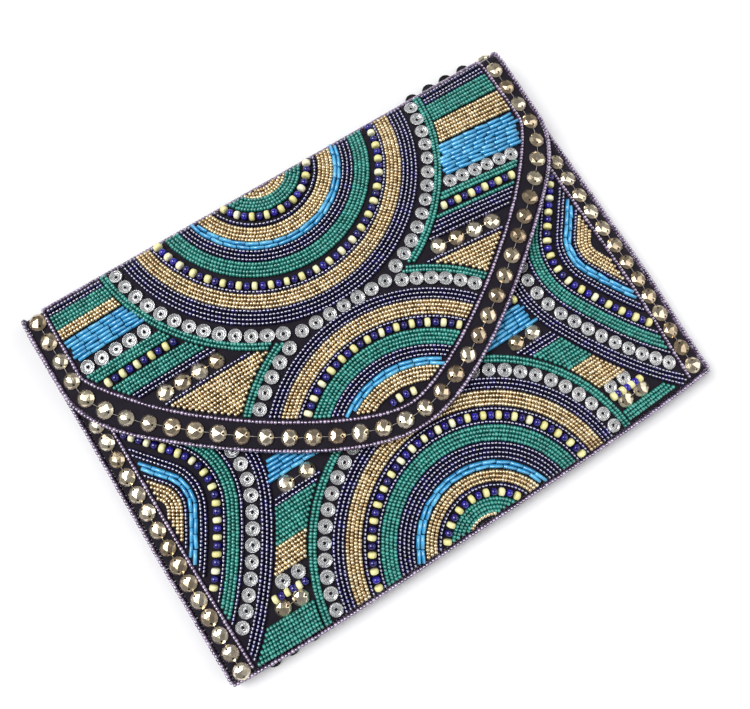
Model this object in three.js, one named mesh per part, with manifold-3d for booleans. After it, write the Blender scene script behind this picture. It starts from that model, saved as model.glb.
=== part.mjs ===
// Beaded envelope clutch purse, closed and lying on its back. Millimetres.
// +X runs along the fold, +Y points towards the fold, +Z points out of the front.
// The origin is the bottom centre of the box around the purse, on its back face.
// The y values below are measured from a line CENTRING under it.

import * as THREE from 'three';
import { mergeVertices } from 'three/addons/utils/BufferGeometryUtils.js';
import Module from 'manifold-3d';

const wasm = await Module();
wasm.setup();

// ---- driving dimensions ----
const HALF_WIDTH = 148;             // over the seam beading
const TOP_Y = 105.5;                // over the fold beadwork
const BOTTOM_Y = -109.5;            // over the bottom seam beading
const CENTRING = -(TOP_Y + BOTTOM_Y) / 2;   // added to every y, to put the origin mid-height
const PANEL_HALF_WIDTH = 145;       // cloth edge at the side seams
const PANEL_BOTTOM = -107;          // cloth edge at the bottom seam
const MOUTH_Y = 88;                 // top edge of the front panel
const BINDING_TOP_Y = MOUTH_Y + 2.5;
const POCKET = { halfWidth: 62, bottomY: -62, topY: 28 };

const BEADS = 1.9;                  // thickness of sewn beadwork
const CLOTH = 0.7;
const BOARD = 0.8;                  // stiffener
const LINING = 0.4;
const GAP = 0.3;                    // between neighbouring layers and pieces
const SNAP_GAP = 3;                 // between the front cloth and the flap lining
const LINING_MARGIN = 1;            // how far the linings and boards stay inside the cloth
const BOARD_MARGIN = 3;
const FLAP_BOARD_MARGIN = 2;
const SEAM_OVERHANG = 1;            // how far the seam beading stands past the outer cloths

const SEAM_DEPTH = 0.6;             // hollow height at the side and bottom seams
const FOLD_DEPTH = 2.5;             // hollow height at the fold
const BULGE = 9;                    // extra hollow height in the middle
const BULGE_POWER = 4;

const FOLD_RADIUS = 5;              // middle of the cloth, at both corners of the fold
const FOLD_SWEEP = 25;              // degrees of each corner left open at the hinge line
const FOLD_STEPS = 6;
const FLAP_TIP_Y = -49.5;
const PIPING_TIP_Y = -35.8;
const FLAP_LEAN = { x: -2.2, y: -1.5, fromY: 60, toY: -10 };   // the hand-cut tip sits off centre
const FLAP_HALF_WIDTH = 146.2;
const EDGE_WIDTH = 2.1;             // flap edge beading
const PIPING_HALF_WIDTH = 133.8;    // inner piping of the stud borders
const FLAP_CURVE = {
  shoulderY: 60.6, turn: [[127.8, 24.7], [118.9, 17.2]], handle: 19.6, lower: [91.5, -6, 38.5],
};
const PIPING_CURVE = {
  shoulderY: 62.8, turn: [[115.3, 36.1], [111.8, 32.3]], handle: 6.9, lower: [88.3, 7.3, 26.8],
};
const SHOULDER_STEPS = 8;
const SWEEP_STEPS = 14;
const UNDER_FLAP = 8;               // how far the front beadwork runs under the flap

const STUD_RADIUS = 4.2;
const STUD_HEIGHT = 2.9;
const STUD_TAPER = 0.6;             // crown radius over base radius, at twice the height
const TAPE = 0.8;                   // border band under the studs
const STUD_SIDES = 6;
const FLAP_STUD_PITCH = 11.6;
const LEFT_STUD_PITCH = 10;
const RIGHT_STUD_PITCH = 11;
const TOP_SIDE_STUD_Y = 32;
const STUD_INSET = 7.6;             // stud centres from the flap's outer edge
const STUD_MARGIN = 1;              // from the last flap stud to the end of its border
const ARC_STEPS = 20;

// ---- layer heights ----
const BACK_CLOTH_Z = BEADS + GAP;
const BACK_BOARD_Z = BACK_CLOTH_Z + CLOTH + GAP;
const BACK_LINING_Z = BACK_BOARD_Z + BOARD + GAP;
const HOLLOW_Z = BACK_LINING_Z + LINING + GAP;
// the layers above ride on the hollow's height at each point
const FRONT_LINING_Z = HOLLOW_Z;
const FRONT_BOARD_Z = FRONT_LINING_Z + LINING + GAP;
const FRONT_CLOTH_Z = FRONT_BOARD_Z + BOARD + GAP;
const FRONT_BEADS_Z = FRONT_CLOTH_Z + CLOTH + GAP;
const FLAP_LINING_Z = FRONT_CLOTH_Z + CLOTH + SNAP_GAP;
const FLAP_BOARD_Z = FLAP_LINING_Z + LINING + GAP;
const FLAP_CLOTH_Z = FLAP_BOARD_Z + BOARD + GAP;
const FLAP_BEADS_Z = FLAP_CLOTH_Z + CLOTH + GAP;

// ---- the fold ----
const FOLD_Y = TOP_Y - BEADS - GAP - CLOTH / 2;
const FOLD_START_Y = FOLD_Y - FOLD_RADIUS;
const LOWER_FOLD_Z = BACK_CLOTH_Z + CLOTH / 2;
const UPPER_FOLD_Z = FLAP_CLOTH_Z + CLOTH / 2 + FOLD_DEPTH;

// ---- the pattern: centres and radii of the medallions ----
const TOP_MEDALLION = { x: -3.7, y: 111, radius: 96 };
const CENTRE_MEDALLION = { x: -4.4, y: -64.6, radius: 95 };
const MEDALLION_MEETING_Y = 23.2;
const BOTTOM_MEDALLION = { x: -1.2, y: -119.2, radius: 93.5 };
const BACK_TOP_MEDALLION = { x: -3.7, y: 103, radius: 96 };
const LEFT_MEDALLION = { x: -136, y: -15, radius: 58.5, below: 58.6, above: 50.8 };
const RIGHT_MEDALLION = { x: 133.3, y: -18.2, radius: 58, below: 58.6, above: 50.8 };

const SNAP_Y = -24;
const SOCKET = { radius: 9, wall: 0.5, top: 0.35, height: 1.7, hole: 3.3 };
const MAGNET = { outer: 8.1, inner: 3.9, height: 1 };
const STUD_FLANGE = { radius: 6.5, height: 0.4 };
const STUD_POST_RADIUS = 2.6;
const TURNED_SIDES = 24;

const FAR = 400;                    // longer than the purse, for cutting prisms

const X_LINES = [-149, -145, -135, -118, -93, -55, -18, 18, 55, 93, 118, 135, 145, 149];
const Y_LINES = [PANEL_BOTTOM, -96, -79, -57, -34, -12, 30, 70, MOUTH_Y, 98];

// ---- colours ----
const NEAR_BLACK = '#1e1a24';
const SATIN = '#2b2a3a';
const GREYBOARD = '#8f8a80';
const TEAL = '#1c7d69';
const GOLD = '#c8a56e';
const NAVY = '#14103c';
const LILAC = '#9682aa';
const STEEL = '#b9b7b2';
const MAGNET_GREY = '#4c4c50';

const purse = new THREE.Group();

function add(name, geometry, color, roughness, metalness = 0) {
  geometry.translate(0, CENTRING, 0);
  const material = new THREE.MeshStandardMaterial({ color, roughness, metalness });
  const mesh = new THREE.Mesh(geometry, material);
  mesh.name = name;
  purse.add(mesh);
}

// ---- solids ----
function solid(geometry) {
  const bare = geometry.clone();
  bare.deleteAttribute('normal');
  bare.deleteAttribute('uv');
  const merged = mergeVertices(bare, 1e-4);
  return new wasm.Manifold(new wasm.Mesh({
    numProp: 3,
    vertProperties: merged.attributes.position.array,
    triVerts: new Uint32Array(merged.index.array),
  }));
}

function geometryOf(manifold) {
  const mesh = manifold.getMesh();
  const geometry = new THREE.BufferGeometry();
  geometry.setAttribute('position', new THREE.BufferAttribute(mesh.vertProperties, mesh.numProp));
  geometry.setIndex(new THREE.BufferAttribute(mesh.triVerts, 1));
  return geometry;
}

function shapeOf(points) {
  return new THREE.Shape(points.map(([x, y]) => new THREE.Vector2(x, y)));
}

// An upright prism over an outline, tall enough to cut every layer.
function prism(points) {
  const geometry = new THREE.ExtrudeGeometry(shapeOf(points), { depth: FAR, bevelEnabled: false });
  geometry.translate(0, 0, -FAR / 2);
  return solid(geometry);
}

// A bar along X whose section is an outline of [y, z] points.
function bar(points, xMin, xMax) {
  const options = { depth: xMax - xMin, bevelEnabled: false };
  const geometry = new THREE.ExtrudeGeometry(shapeOf(points), options);
  const turn = new THREE.Matrix4().makeBasis(
    new THREE.Vector3(0, 1, 0),
    new THREE.Vector3(0, 0, 1),
    new THREE.Vector3(1, 0, 0),
  );
  geometry.applyMatrix4(turn);
  geometry.translate(xMin, 0, 0);
  return geometry;
}

// The hollow's height at a point: low at the seams, a flat-topped pillow in the middle.
function hollowHeight(x, y) {
  const across = Math.min(Math.abs(x) / PANEL_HALF_WIDTH, 1);
  const middle = (PANEL_BOTTOM + FOLD_START_Y) / 2;
  const along = Math.min(Math.abs(y - middle) / (FOLD_START_Y - middle), 1);
  const pillow = (1 - across ** BULGE_POWER) * (1 - along ** BULGE_POWER);
  const rise = THREE.MathUtils.smoothstep(y, MOUTH_Y / 2, FOLD_START_Y);
  return SEAM_DEPTH + (FOLD_DEPTH - SEAM_DEPTH) * rise + BULGE * pillow;
}

function flat() {
  return 0;
}

// The last grid line at or before a value, so that the value lies in the cell that starts there.
function cellStart(lines, value) {
  const after = lines.findIndex((line) => line > value);
  return after < 0 ? lines.length - 2 : Math.max(after - 1, 0);
}

// The hollow's height on the flat facets of the domed sheets.
function facetHeight(x, y) {
  const [i, j] = [cellStart(X_LINES, x), cellStart(Y_LINES, y)];
  const s = (x - X_LINES[i]) / (X_LINES[i + 1] - X_LINES[i]);
  const t = (y - Y_LINES[j]) / (Y_LINES[j + 1] - Y_LINES[j]);
  const corner = (di, dj) => hollowHeight(X_LINES[i + di], Y_LINES[j + dj]);
  if (t <= s) return (1 - s) * corner(0, 0) + (s - t) * corner(1, 0) + t * corner(1, 1);
  return (1 - t) * corner(0, 0) + (t - s) * corner(0, 1) + s * corner(1, 1);
}

// A sheet between two heights over a grid, lifted at each grid point by lift(x, y).
function sheet(zLow, zHigh, xLines, yLines, lift) {
  const columns = xLines.length;
  const rows = yLines.length;
  const layer = columns * rows;
  const positions = [];
  for (const z of [zLow, zHigh]) {
    for (const y of yLines) {
      for (const x of xLines) positions.push(x, y, z + lift(x, y));
    }
  }
  const faces = [];
  const quad = (a, b, c, d) => faces.push(a, b, c, a, c, d);
  for (let j = 0; j < rows - 1; j += 1) {
    for (let i = 0; i < columns - 1; i += 1) {
      const a = j * columns + i;
      const [b, c, d] = [a + 1, a + 1 + columns, a + columns];
      quad(a + layer, b + layer, c + layer, d + layer);
      faces.push(a, c, b, a, d, c);
    }
  }
  for (let i = 0; i < columns - 1; i += 1) {
    const far = (rows - 1) * columns + i;
    quad(i, i + 1, i + 1 + layer, i + layer);
    quad(far + 1, far, far + layer, far + 1 + layer);
  }
  for (let j = 0; j < rows - 1; j += 1) {
    const left = j * columns;
    const right = left + columns - 1;
    quad(left + columns, left, left + layer, left + columns + layer);
    quad(right, right + columns, right + columns + layer, right + layer);
  }
  const geometry = new THREE.BufferGeometry();
  geometry.setAttribute('position', new THREE.Float32BufferAttribute(positions, 3));
  geometry.setIndex(faces);
  return solid(geometry);
}

function domed(z, thickness) {
  return sheet(z, z + thickness, X_LINES, Y_LINES, hollowHeight);
}

// ---- outlines ----
function rectangle(xMin, yMin, xMax, yMax) {
  return [[xMin, yMin], [xMax, yMin], [xMax, yMax], [xMin, yMax]];
}

function disc({ x, y, radius }, grow = 0) {
  const points = [];
  for (let k = 0; k < 2 * ARC_STEPS; k += 1) {
    const angle = (k / ARC_STEPS) * Math.PI;
    const reach = radius + grow;
    points.push([x + reach * Math.cos(angle), y + reach * Math.sin(angle)]);
  }
  return points;
}

// A half medallion at a side seam: a round nose with two straight legs running back to the seam.
function sideMedallion({ x, y, radius, below, above }, side, grow = 0) {
  const reach = radius + grow;
  const low = THREE.MathUtils.degToRad(below - 90);
  const high = THREE.MathUtils.degToRad(90 - above);
  const points = [];
  const leg = (angle, sign) => {
    const [nx, ny] = [Math.cos(angle), Math.sin(angle)];
    points.push([
      x - side * (nx * reach + sign * ny * FAR / 2), y + ny * reach - sign * nx * FAR / 2,
    ]);
  };
  leg(low, 1);
  for (let k = 0; k <= ARC_STEPS / 2; k += 1) {
    const angle = low + (high - low) * (k / (ARC_STEPS / 2));
    points.push([x - side * reach * Math.cos(angle), y + reach * Math.sin(angle)]);
  }
  leg(high, -1);
  return side > 0 ? points.reverse() : points;
}

function cubic(points) {
  const [a, b, c, d] = points.map(([x, y]) => new THREE.Vector2(x, y));
  return new THREE.CubicBezierCurve(a, b, c, d);
}

// The right half of a flap line: a shoulder at the side, then a long sweep to the tip.
function flapHalf(halfWidth, { shoulderY, turn, handle, lower }, tipY) {
  const shoulder = cubic([[halfWidth, shoulderY], [halfWidth, shoulderY - handle], turn[0], turn[1]]);
  const sweep = cubic([turn[1], lower, [lower[2], tipY], [0, tipY]]);
  return [...shoulder.getPoints(SHOULDER_STEPS), ...sweep.getPoints(SWEEP_STEPS).slice(1)]
    .map((p) => [p.x, p.y]);
}

const OUTER_HALF = flapHalf(FLAP_HALF_WIDTH, FLAP_CURVE, FLAP_TIP_Y);
const PIPING_HALF = flapHalf(PIPING_HALF_WIDTH, PIPING_CURVE, PIPING_TIP_Y);

// Moves a half line inwards along its normal.
function inset(half, distance) {
  return half.map(([x, y], i) => {
    const [x0, y0] = half[Math.max(i - 1, 0)];
    const [x1, y1] = half[Math.min(i + 1, half.length - 1)];
    const length = Math.hypot(x1 - x0, y1 - y0);
    const atTip = i === half.length - 1;
    const [nx, ny] = atTip ? [0, 1] : [(y1 - y0) / length, -(x1 - x0) / length];
    return [x + nx * distance, y + ny * distance];
  });
}

// Moves a point of the flap with its off-centre tip.
function lean([x, y]) {
  const share = 1 - THREE.MathUtils.smoothstep(y, FLAP_LEAN.toY, FLAP_LEAN.fromY);
  return [x + FLAP_LEAN.x * share, y + FLAP_LEAN.y * share];
}

// A whole flap line from its right half, from the left side round the tip to the right side.
function wholeLine(half) {
  const left = half.slice(0, -1).map(([x, y]) => [-x, y]);
  return [...left, ...half.slice().reverse()].map(lean);
}

// A closed flap outline from its right half, up to a straight top.
function flapOutline(half, topY, shift = 0) {
  const line = wholeLine(half).map(([x, y]) => [x, y + shift]);
  return [[-half[0][0], topY], ...line, [half[0][0], topY]];
}

// ---- studs ----
// Adds a stud at each point to a border tape that lies at height z on the domed front.
function withStuds(tape, points, z) {
  const layer = domed(z, 2 * STUD_HEIGHT);
  let border = tape;
  for (const [x, y] of points) {
    const stud = new THREE.CylinderGeometry(
      STUD_RADIUS * STUD_TAPER, STUD_RADIUS, 2 * STUD_HEIGHT, STUD_SIDES);
    stud.rotateX(Math.PI / 2);
    stud.translate(x, y, z + facetHeight(x, y));
    border = border.add(solid(stud).intersect(layer));
  }
  return geometryOf(border);
}

// Evenly spaced points along a polyline, at most pitch apart.
function spaced(points, pitch) {
  const path = new THREE.CurvePath();
  for (let i = 1; i < points.length; i += 1) {
    const [a, b] = [points[i - 1], points[i]];
    path.add(new THREE.LineCurve(new THREE.Vector2(...a), new THREE.Vector2(...b)));
  }
  const count = Math.round(path.getLength() / pitch);
  return path.getSpacedPoints(count).map((p) => [p.x, p.y]);
}

// ---- the back ----
function backPanel() {
  const top = FOLD_START_Y - GAP;
  const panel = (z, thickness, margin) => sheet(
    z, z + thickness,
    [-PANEL_HALF_WIDTH + margin, PANEL_HALF_WIDTH - margin],
    [PANEL_BOTTOM + margin, top], flat,
  );
  add('back_outer_cloth', geometryOf(panel(BACK_CLOTH_Z, CLOTH, 0)), NEAR_BLACK, 0.85);
  add('back_stiffener', geometryOf(panel(BACK_BOARD_Z, BOARD, BOARD_MARGIN)), GREYBOARD, 0.9);
  add('back_lining', geometryOf(panel(BACK_LINING_Z, LINING, LINING_MARGIN)), SATIN, 0.5);
  const { halfWidth, bottomY, topY } = POCKET;
  const pocket = sheet(
    HOLLOW_Z, HOLLOW_Z + LINING, [-halfWidth, halfWidth], [bottomY, topY], flat);
  add('slip_pocket', geometryOf(pocket), SATIN, 0.5);
}

function backBeadwork() {
  const top = FOLD_START_Y - GAP;
  const field = (xMin, xMax) => sheet(0, BEADS, [xMin, xMax], [PANEL_BOTTOM, top], flat);
  const upper = prism(disc(BACK_TOP_MEDALLION, GAP / 2));
  const lower = prism(disc(BOTTOM_MEDALLION, GAP / 2));
  const inside = PIPING_HALF_WIDTH - GAP / 2;
  const whole = field(-inside, inside);
  add('back_medallion_top',
    geometryOf(whole.intersect(prism(disc(BACK_TOP_MEDALLION, -GAP / 2)))), TEAL, 0.35);
  add('back_medallion_bottom',
    geometryOf(whole.intersect(prism(disc(BOTTOM_MEDALLION, -GAP / 2)))), TEAL, 0.35);
  const sides = { left: field(-inside, -GAP / 2), right: field(GAP / 2, inside) };
  for (const [side, slab] of Object.entries(sides)) {
    add(`back_stripes_${side}`, geometryOf(slab.subtract(upper).subtract(lower)), GOLD, 0.35);
  }
  const outside = [PIPING_HALF_WIDTH + GAP / 2, PANEL_HALF_WIDTH];
  add('back_border_left', geometryOf(field(-outside[1], -outside[0])), NAVY, 0.4);
  add('back_border_right', geometryOf(field(outside[0], outside[1])), NAVY, 0.4);
}

// ---- the front panel ----
function frontPanel() {
  const whole = (margin) => prism(rectangle(
    -PANEL_HALF_WIDTH + margin, PANEL_BOTTOM + margin, PANEL_HALF_WIDTH - margin, MOUTH_Y));
  const layer = (z, thickness, margin) => geometryOf(domed(z, thickness).intersect(whole(margin)));
  add('front_lining', layer(FRONT_LINING_Z, LINING, LINING_MARGIN), SATIN, 0.5);
  add('front_stiffener', layer(FRONT_BOARD_Z, BOARD, BOARD_MARGIN), GREYBOARD, 0.9);
  add('front_outer_cloth', layer(FRONT_CLOTH_Z, CLOTH, 0), NEAR_BLACK, 0.85);
  const binding = rectangle(-PANEL_HALF_WIDTH, MOUTH_Y + GAP, PANEL_HALF_WIDTH, BINDING_TOP_Y);
  const thickness = FRONT_CLOTH_Z + CLOTH - FRONT_LINING_Z;
  add('front_mouth_binding',
    geometryOf(domed(FRONT_LINING_Z, thickness).intersect(prism(binding))), NEAR_BLACK, 0.7);
}

function frontBeadwork() {
  const underFlap = prism(flapOutline(OUTER_HALF, FAR / 2, UNDER_FLAP));
  const inside = PIPING_HALF_WIDTH - GAP / 2;
  const slab = domed(FRONT_BEADS_Z, BEADS)
    .intersect(prism(rectangle(-inside, PANEL_BOTTOM, inside, MOUTH_Y)))
    .subtract(underFlap);
  const bottomCut = prism(disc(BOTTOM_MEDALLION, GAP));
  const leftCut = prism(sideMedallion(LEFT_MEDALLION, -1, GAP));
  const rightCut = prism(sideMedallion(RIGHT_MEDALLION, 1, GAP));
  const bottom = slab.intersect(prism(disc(BOTTOM_MEDALLION)));
  const left = slab.intersect(prism(sideMedallion(LEFT_MEDALLION, -1)));
  const right = slab.intersect(prism(sideMedallion(RIGHT_MEDALLION, 1)));
  add('front_medallion_bottom', geometryOf(bottom), TEAL, 0.35);
  add('front_medallion_left', geometryOf(left.subtract(bottomCut)), TEAL, 0.35);
  add('front_medallion_right', geometryOf(right.subtract(bottomCut)), TEAL, 0.35);
  const rest = slab.subtract(bottomCut).subtract(leftCut).subtract(rightCut);
  const half = (sign) => prism(rectangle(
    Math.min(0, sign * FAR / 2), -FAR / 2, Math.max(0, sign * FAR / 2), FAR / 2));
  add('front_stripes_left', geometryOf(rest.intersect(half(-1))), GOLD, 0.35);
  add('front_stripes_right', geometryOf(rest.intersect(half(1))), GOLD, 0.35);
}

function frontStudBorder(name, side, pitch) {
  const [inner, outer] = [PIPING_HALF_WIDTH + GAP / 2, PANEL_HALF_WIDTH];
  const span = side > 0 ? [inner, outer] : [-outer, -inner];
  const underFlap = prism(flapOutline(OUTER_HALF, FAR / 2, UNDER_FLAP));
  const tape = domed(FRONT_BEADS_Z, TAPE)
    .intersect(prism(rectangle(span[0], PANEL_BOTTOM, span[1], MOUTH_Y)))
    .subtract(underFlap);
  const x = side * (inner + outer) / 2;
  const studs = [];
  for (let y = PANEL_BOTTOM + STUD_RADIUS + GAP; y <= TOP_SIDE_STUD_Y; y += pitch) {
    studs.push([x, y]);
  }
  add(name, withStuds(tape, studs, FRONT_BEADS_Z), NAVY, 0.5);
}

function seamBeading() {
  const z = BACK_CLOTH_Z - SEAM_OVERHANG;
  const height = FRONT_CLOTH_Z + SEAM_DEPTH + CLOTH + SEAM_OVERHANG - z;
  const strip = (xMin, yMin, xMax, yMax) => geometryOf(
    sheet(z, z + height, [xMin, xMax], [yMin, yMax], flat));
  const edge = PANEL_HALF_WIDTH + GAP;
  const top = MOUTH_Y - GAP;
  const bottom = PANEL_BOTTOM - GAP;
  add('seam_beading_left', strip(-HALF_WIDTH, bottom, -edge, top), LILAC, 0.2);
  add('seam_beading_right', strip(edge, bottom, HALF_WIDTH, top), LILAC, 0.2);
  add('seam_beading_bottom',
    strip(-HALF_WIDTH, BOTTOM_Y, HALF_WIDTH, bottom - GAP), LILAC, 0.2);
}

// ---- the fold ----
// A band round both corners of the fold, between two distances from the corner centres.
function foldBand(inner, outer, sweep) {
  const start = THREE.MathUtils.degToRad(sweep);
  const lowerZ = LOWER_FOLD_Z + FOLD_RADIUS;
  const upperZ = UPPER_FOLD_Z - FOLD_RADIUS;
  const arc = (radius, z, from, to) => {
    const points = [];
    for (let k = 0; k <= FOLD_STEPS; k += 1) {
      const angle = from + (to - from) * (k / FOLD_STEPS);
      points.push([FOLD_START_Y + radius * Math.sin(angle), z - radius * Math.cos(angle)]);
    }
    return points;
  };
  const side = (radius) => [
    ...arc(radius, lowerZ, start, Math.PI / 2),
    ...arc(radius, upperZ, Math.PI / 2, Math.PI - start),
  ];
  return [...side(outer), ...side(inner).reverse()];
}

function fold() {
  const clothIn = FOLD_RADIUS - CLOTH / 2;
  const clothOut = FOLD_RADIUS + CLOTH / 2;
  const wide = PANEL_HALF_WIDTH;
  const layers = {
    spine_outer_cloth: [clothIn, clothOut, wide, NEAR_BLACK],
    spine_lining: [clothIn - GAP - LINING, clothIn - GAP, wide - LINING_MARGIN, SATIN],
    spine_beadwork: [clothOut + GAP, clothOut + GAP + BEADS, wide, TEAL],
  };
  for (const [name, [inner, outer, half, color]] of Object.entries(layers)) {
    add(name, bar(foldBand(inner, outer, FOLD_SWEEP), -half, half), color, 0.6);
  }
  const edge = foldBand(clothIn, clothOut + GAP + BEADS, FOLD_SWEEP);
  add('spine_edge_beading_left', bar(edge, -HALF_WIDTH, -wide - GAP), LILAC, 0.2);
  add('spine_edge_beading_right', bar(edge, wide + GAP, HALF_WIDTH), LILAC, 0.2);
}

// ---- the flap ----
function flapPanel() {
  const top = FOLD_START_Y - GAP;
  const layer = (z, thickness, margin) => geometryOf(
    domed(z, thickness).intersect(prism(flapOutline(inset(OUTER_HALF, margin), top))));
  add('flap_lining', layer(FLAP_LINING_Z, LINING, EDGE_WIDTH + GAP + LINING_MARGIN), SATIN, 0.5);
  add('flap_stiffener',
    layer(FLAP_BOARD_Z, BOARD, EDGE_WIDTH + GAP + FLAP_BOARD_MARGIN), GREYBOARD, 0.9);
  add('flap_outer_cloth', layer(FLAP_CLOTH_Z, CLOTH, EDGE_WIDTH + GAP), NEAR_BLACK, 0.85);
  const thickness = FLAP_BEADS_Z + BEADS - FLAP_LINING_Z;
  const ring = prism(flapOutline(OUTER_HALF, top))
    .subtract(prism(flapOutline(inset(OUTER_HALF, EDGE_WIDTH), top + 1)));
  add('flap_edge_beading',
    geometryOf(domed(FLAP_LINING_Z, thickness).intersect(ring)), LILAC, 0.2);
}

function flapBeadwork() {
  const top = FOLD_START_Y - GAP;
  const slab = domed(FLAP_BEADS_Z, BEADS).intersect(prism(flapOutline(PIPING_HALF, top)));
  const above = prism(rectangle(-FAR / 2, MEDALLION_MEETING_Y + GAP, FAR / 2, FAR / 2));
  const below = prism(rectangle(-FAR / 2, -FAR / 2, FAR / 2, MEDALLION_MEETING_Y));
  const upper = slab.intersect(prism(disc(TOP_MEDALLION))).intersect(above);
  const lower = slab.intersect(prism(disc(CENTRE_MEDALLION))).intersect(below);
  add('flap_medallion_top', geometryOf(upper), TEAL, 0.35);
  add('flap_medallion_centre', geometryOf(lower), TEAL, 0.35);
  const fields = slab
    .subtract(prism(disc(TOP_MEDALLION, GAP)))
    .subtract(prism(disc(CENTRE_MEDALLION, GAP)));
  const left = prism(rectangle(-FAR / 2, -FAR / 2, TOP_MEDALLION.x, FAR / 2));
  const right = prism(rectangle(TOP_MEDALLION.x, -FAR / 2, FAR / 2, FAR / 2));
  add('flap_stripes_left', geometryOf(fields.intersect(left)), GOLD, 0.35);
  add('flap_stripes_right', geometryOf(fields.intersect(right)), GOLD, 0.35);
}

function flapStudBorder() {
  const top = FOLD_START_Y - GAP;
  const outer = prism(flapOutline(inset(OUTER_HALF, EDGE_WIDTH + GAP), top));
  const inner = prism(flapOutline(inset(PIPING_HALF, -GAP), top + 1));
  const tape = domed(FLAP_BEADS_Z, TAPE).intersect(outer.subtract(inner));
  const middle = inset(OUTER_HALF, STUD_INSET);
  const lastY = top - STUD_RADIUS - STUD_MARGIN;
  const studs = spaced(wholeLine([[middle[0][0], lastY], ...middle]), FLAP_STUD_PITCH);
  add('flap_stud_border', withStuds(tape, studs, FLAP_BEADS_Z), NAVY, 0.5);
}

// ---- the magnetic snap ----
function turned(points, z) {
  const profile = [...points, points[0]].map(([r, h]) => new THREE.Vector2(r, h));
  const geometry = new THREE.LatheGeometry(profile, TURNED_SIDES);
  geometry.rotateX(Math.PI / 2);
  geometry.translate(0, SNAP_Y, z);
  return geometryOf(solid(geometry));
}

// The closed section of a ring, walked so that its faces point outwards.
function ringSection(inner, outer, low, high) {
  return [[inner, low], [outer, low], [outer, high], [inner, high]];
}

function snap() {
  const lift = hollowHeight(0, SNAP_Y);
  const frontTop = FRONT_CLOTH_Z + CLOTH + lift;
  const { radius, wall, top, height, hole } = SOCKET;
  const cap = [
    [hole, height - top], [radius - wall, height - top], [radius - wall, 0],
    [radius, 0], [radius, height], [hole, height],
  ];
  add('snap_socket_cap', turned(cap, frontTop + GAP), STEEL, 0.3, 1);
  const magnet = ringSection(MAGNET.inner, MAGNET.outer, 0, MAGNET.height);
  add('snap_magnet', turned(magnet, frontTop + GAP), MAGNET_GREY, 0.6, 0.2);
  const stud = [
    [0, 0], [STUD_POST_RADIUS, 0], [STUD_POST_RADIUS, height],
    [STUD_FLANGE.radius, height], [STUD_FLANGE.radius, height + STUD_FLANGE.height],
    [0, height + STUD_FLANGE.height],
  ];
  add('snap_stud', turned(stud, frontTop + 2 * GAP), STEEL, 0.3, 1);
}

backPanel();
backBeadwork();
frontPanel();
frontBeadwork();
frontStudBorder('front_stud_border_left', -1, LEFT_STUD_PITCH);
frontStudBorder('front_stud_border_right', 1, RIGHT_STUD_PITCH);
seamBeading();
fold();
flapPanel();
flapBeadwork();
flapStudBorder();
snap();

export default purse;
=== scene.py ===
"""Beaded envelope clutch purse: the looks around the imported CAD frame.

Lengths inside this script are millimetres in the frame's axes; MM turns them into metres.
A place on the beadwork is (u, v) on the cloth. On the front panel u is x and v is y less CENTRING, before the
bottom corners are drawn in. The cover is one cloth that runs from the flap's tip (low v) over the fold and
down the back (high v).
"""

import math

import bmesh
import bpy
import numpy as np
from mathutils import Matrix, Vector


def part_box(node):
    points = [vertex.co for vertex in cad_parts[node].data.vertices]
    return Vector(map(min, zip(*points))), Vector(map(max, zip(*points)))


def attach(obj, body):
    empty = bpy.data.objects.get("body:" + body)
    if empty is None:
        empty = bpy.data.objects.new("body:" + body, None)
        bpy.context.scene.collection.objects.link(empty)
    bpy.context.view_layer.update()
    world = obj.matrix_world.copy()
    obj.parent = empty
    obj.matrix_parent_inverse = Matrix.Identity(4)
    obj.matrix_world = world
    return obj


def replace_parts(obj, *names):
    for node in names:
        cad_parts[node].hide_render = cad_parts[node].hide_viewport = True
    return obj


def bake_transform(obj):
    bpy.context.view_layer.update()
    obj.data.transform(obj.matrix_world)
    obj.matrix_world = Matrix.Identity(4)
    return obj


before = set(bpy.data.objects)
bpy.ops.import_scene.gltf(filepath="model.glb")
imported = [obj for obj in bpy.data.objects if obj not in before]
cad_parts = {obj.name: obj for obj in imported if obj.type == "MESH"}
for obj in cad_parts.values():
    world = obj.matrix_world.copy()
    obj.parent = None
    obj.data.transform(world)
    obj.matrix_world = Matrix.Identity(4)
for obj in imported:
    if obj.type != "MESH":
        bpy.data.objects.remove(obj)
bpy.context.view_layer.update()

MM = 0.001
RANDOM_SEED = 7
rng = np.random.default_rng(RANDOM_SEED)


def box_mm(node):
    low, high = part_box(node)
    return np.array(low) / MM, np.array(high) / MM


# ---- driving dimensions, read from the frame where it has them ----
FRONT_CLOTH_LOW, FRONT_CLOTH_HIGH = box_mm("front_outer_cloth")
BACK_CLOTH_LOW, _ = box_mm("back_outer_cloth")
_, SPINE_HIGH = box_mm("spine_outer_cloth")

CLOTH = 0.7
LINING = 0.4
BOARD_THICKNESS = 0.8
LAYER_GAP = 0.3                      # between neighbouring layers
SNAP_GAP = 3.0                       # between the front cloth and the flap's lining
FOLD_Y = 102.95                      # middle of the cloth where the fold reaches furthest, less CENTRING
CENTRING = SPINE_HIGH[1] - CLOTH / 2 - FOLD_Y
PANEL_HALF_WIDTH = FRONT_CLOTH_HIGH[0]
PANEL_BOTTOM = FRONT_CLOTH_LOW[1] - CENTRING
MOUTH_Y = FRONT_CLOTH_HIGH[1] - CENTRING

SEAM_DEPTH = 0.6                     # the hollow's height at the side and bottom seams
FOLD_DEPTH = 2.5                     # the hollow's height at the fold
BULGE = 9.0                          # extra height in the middle
BULGE_POWER = 4
FOLD_RADIUS = 5.0                    # to the middle of the cloth
FOLD_START = FOLD_Y - FOLD_RADIUS

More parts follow.
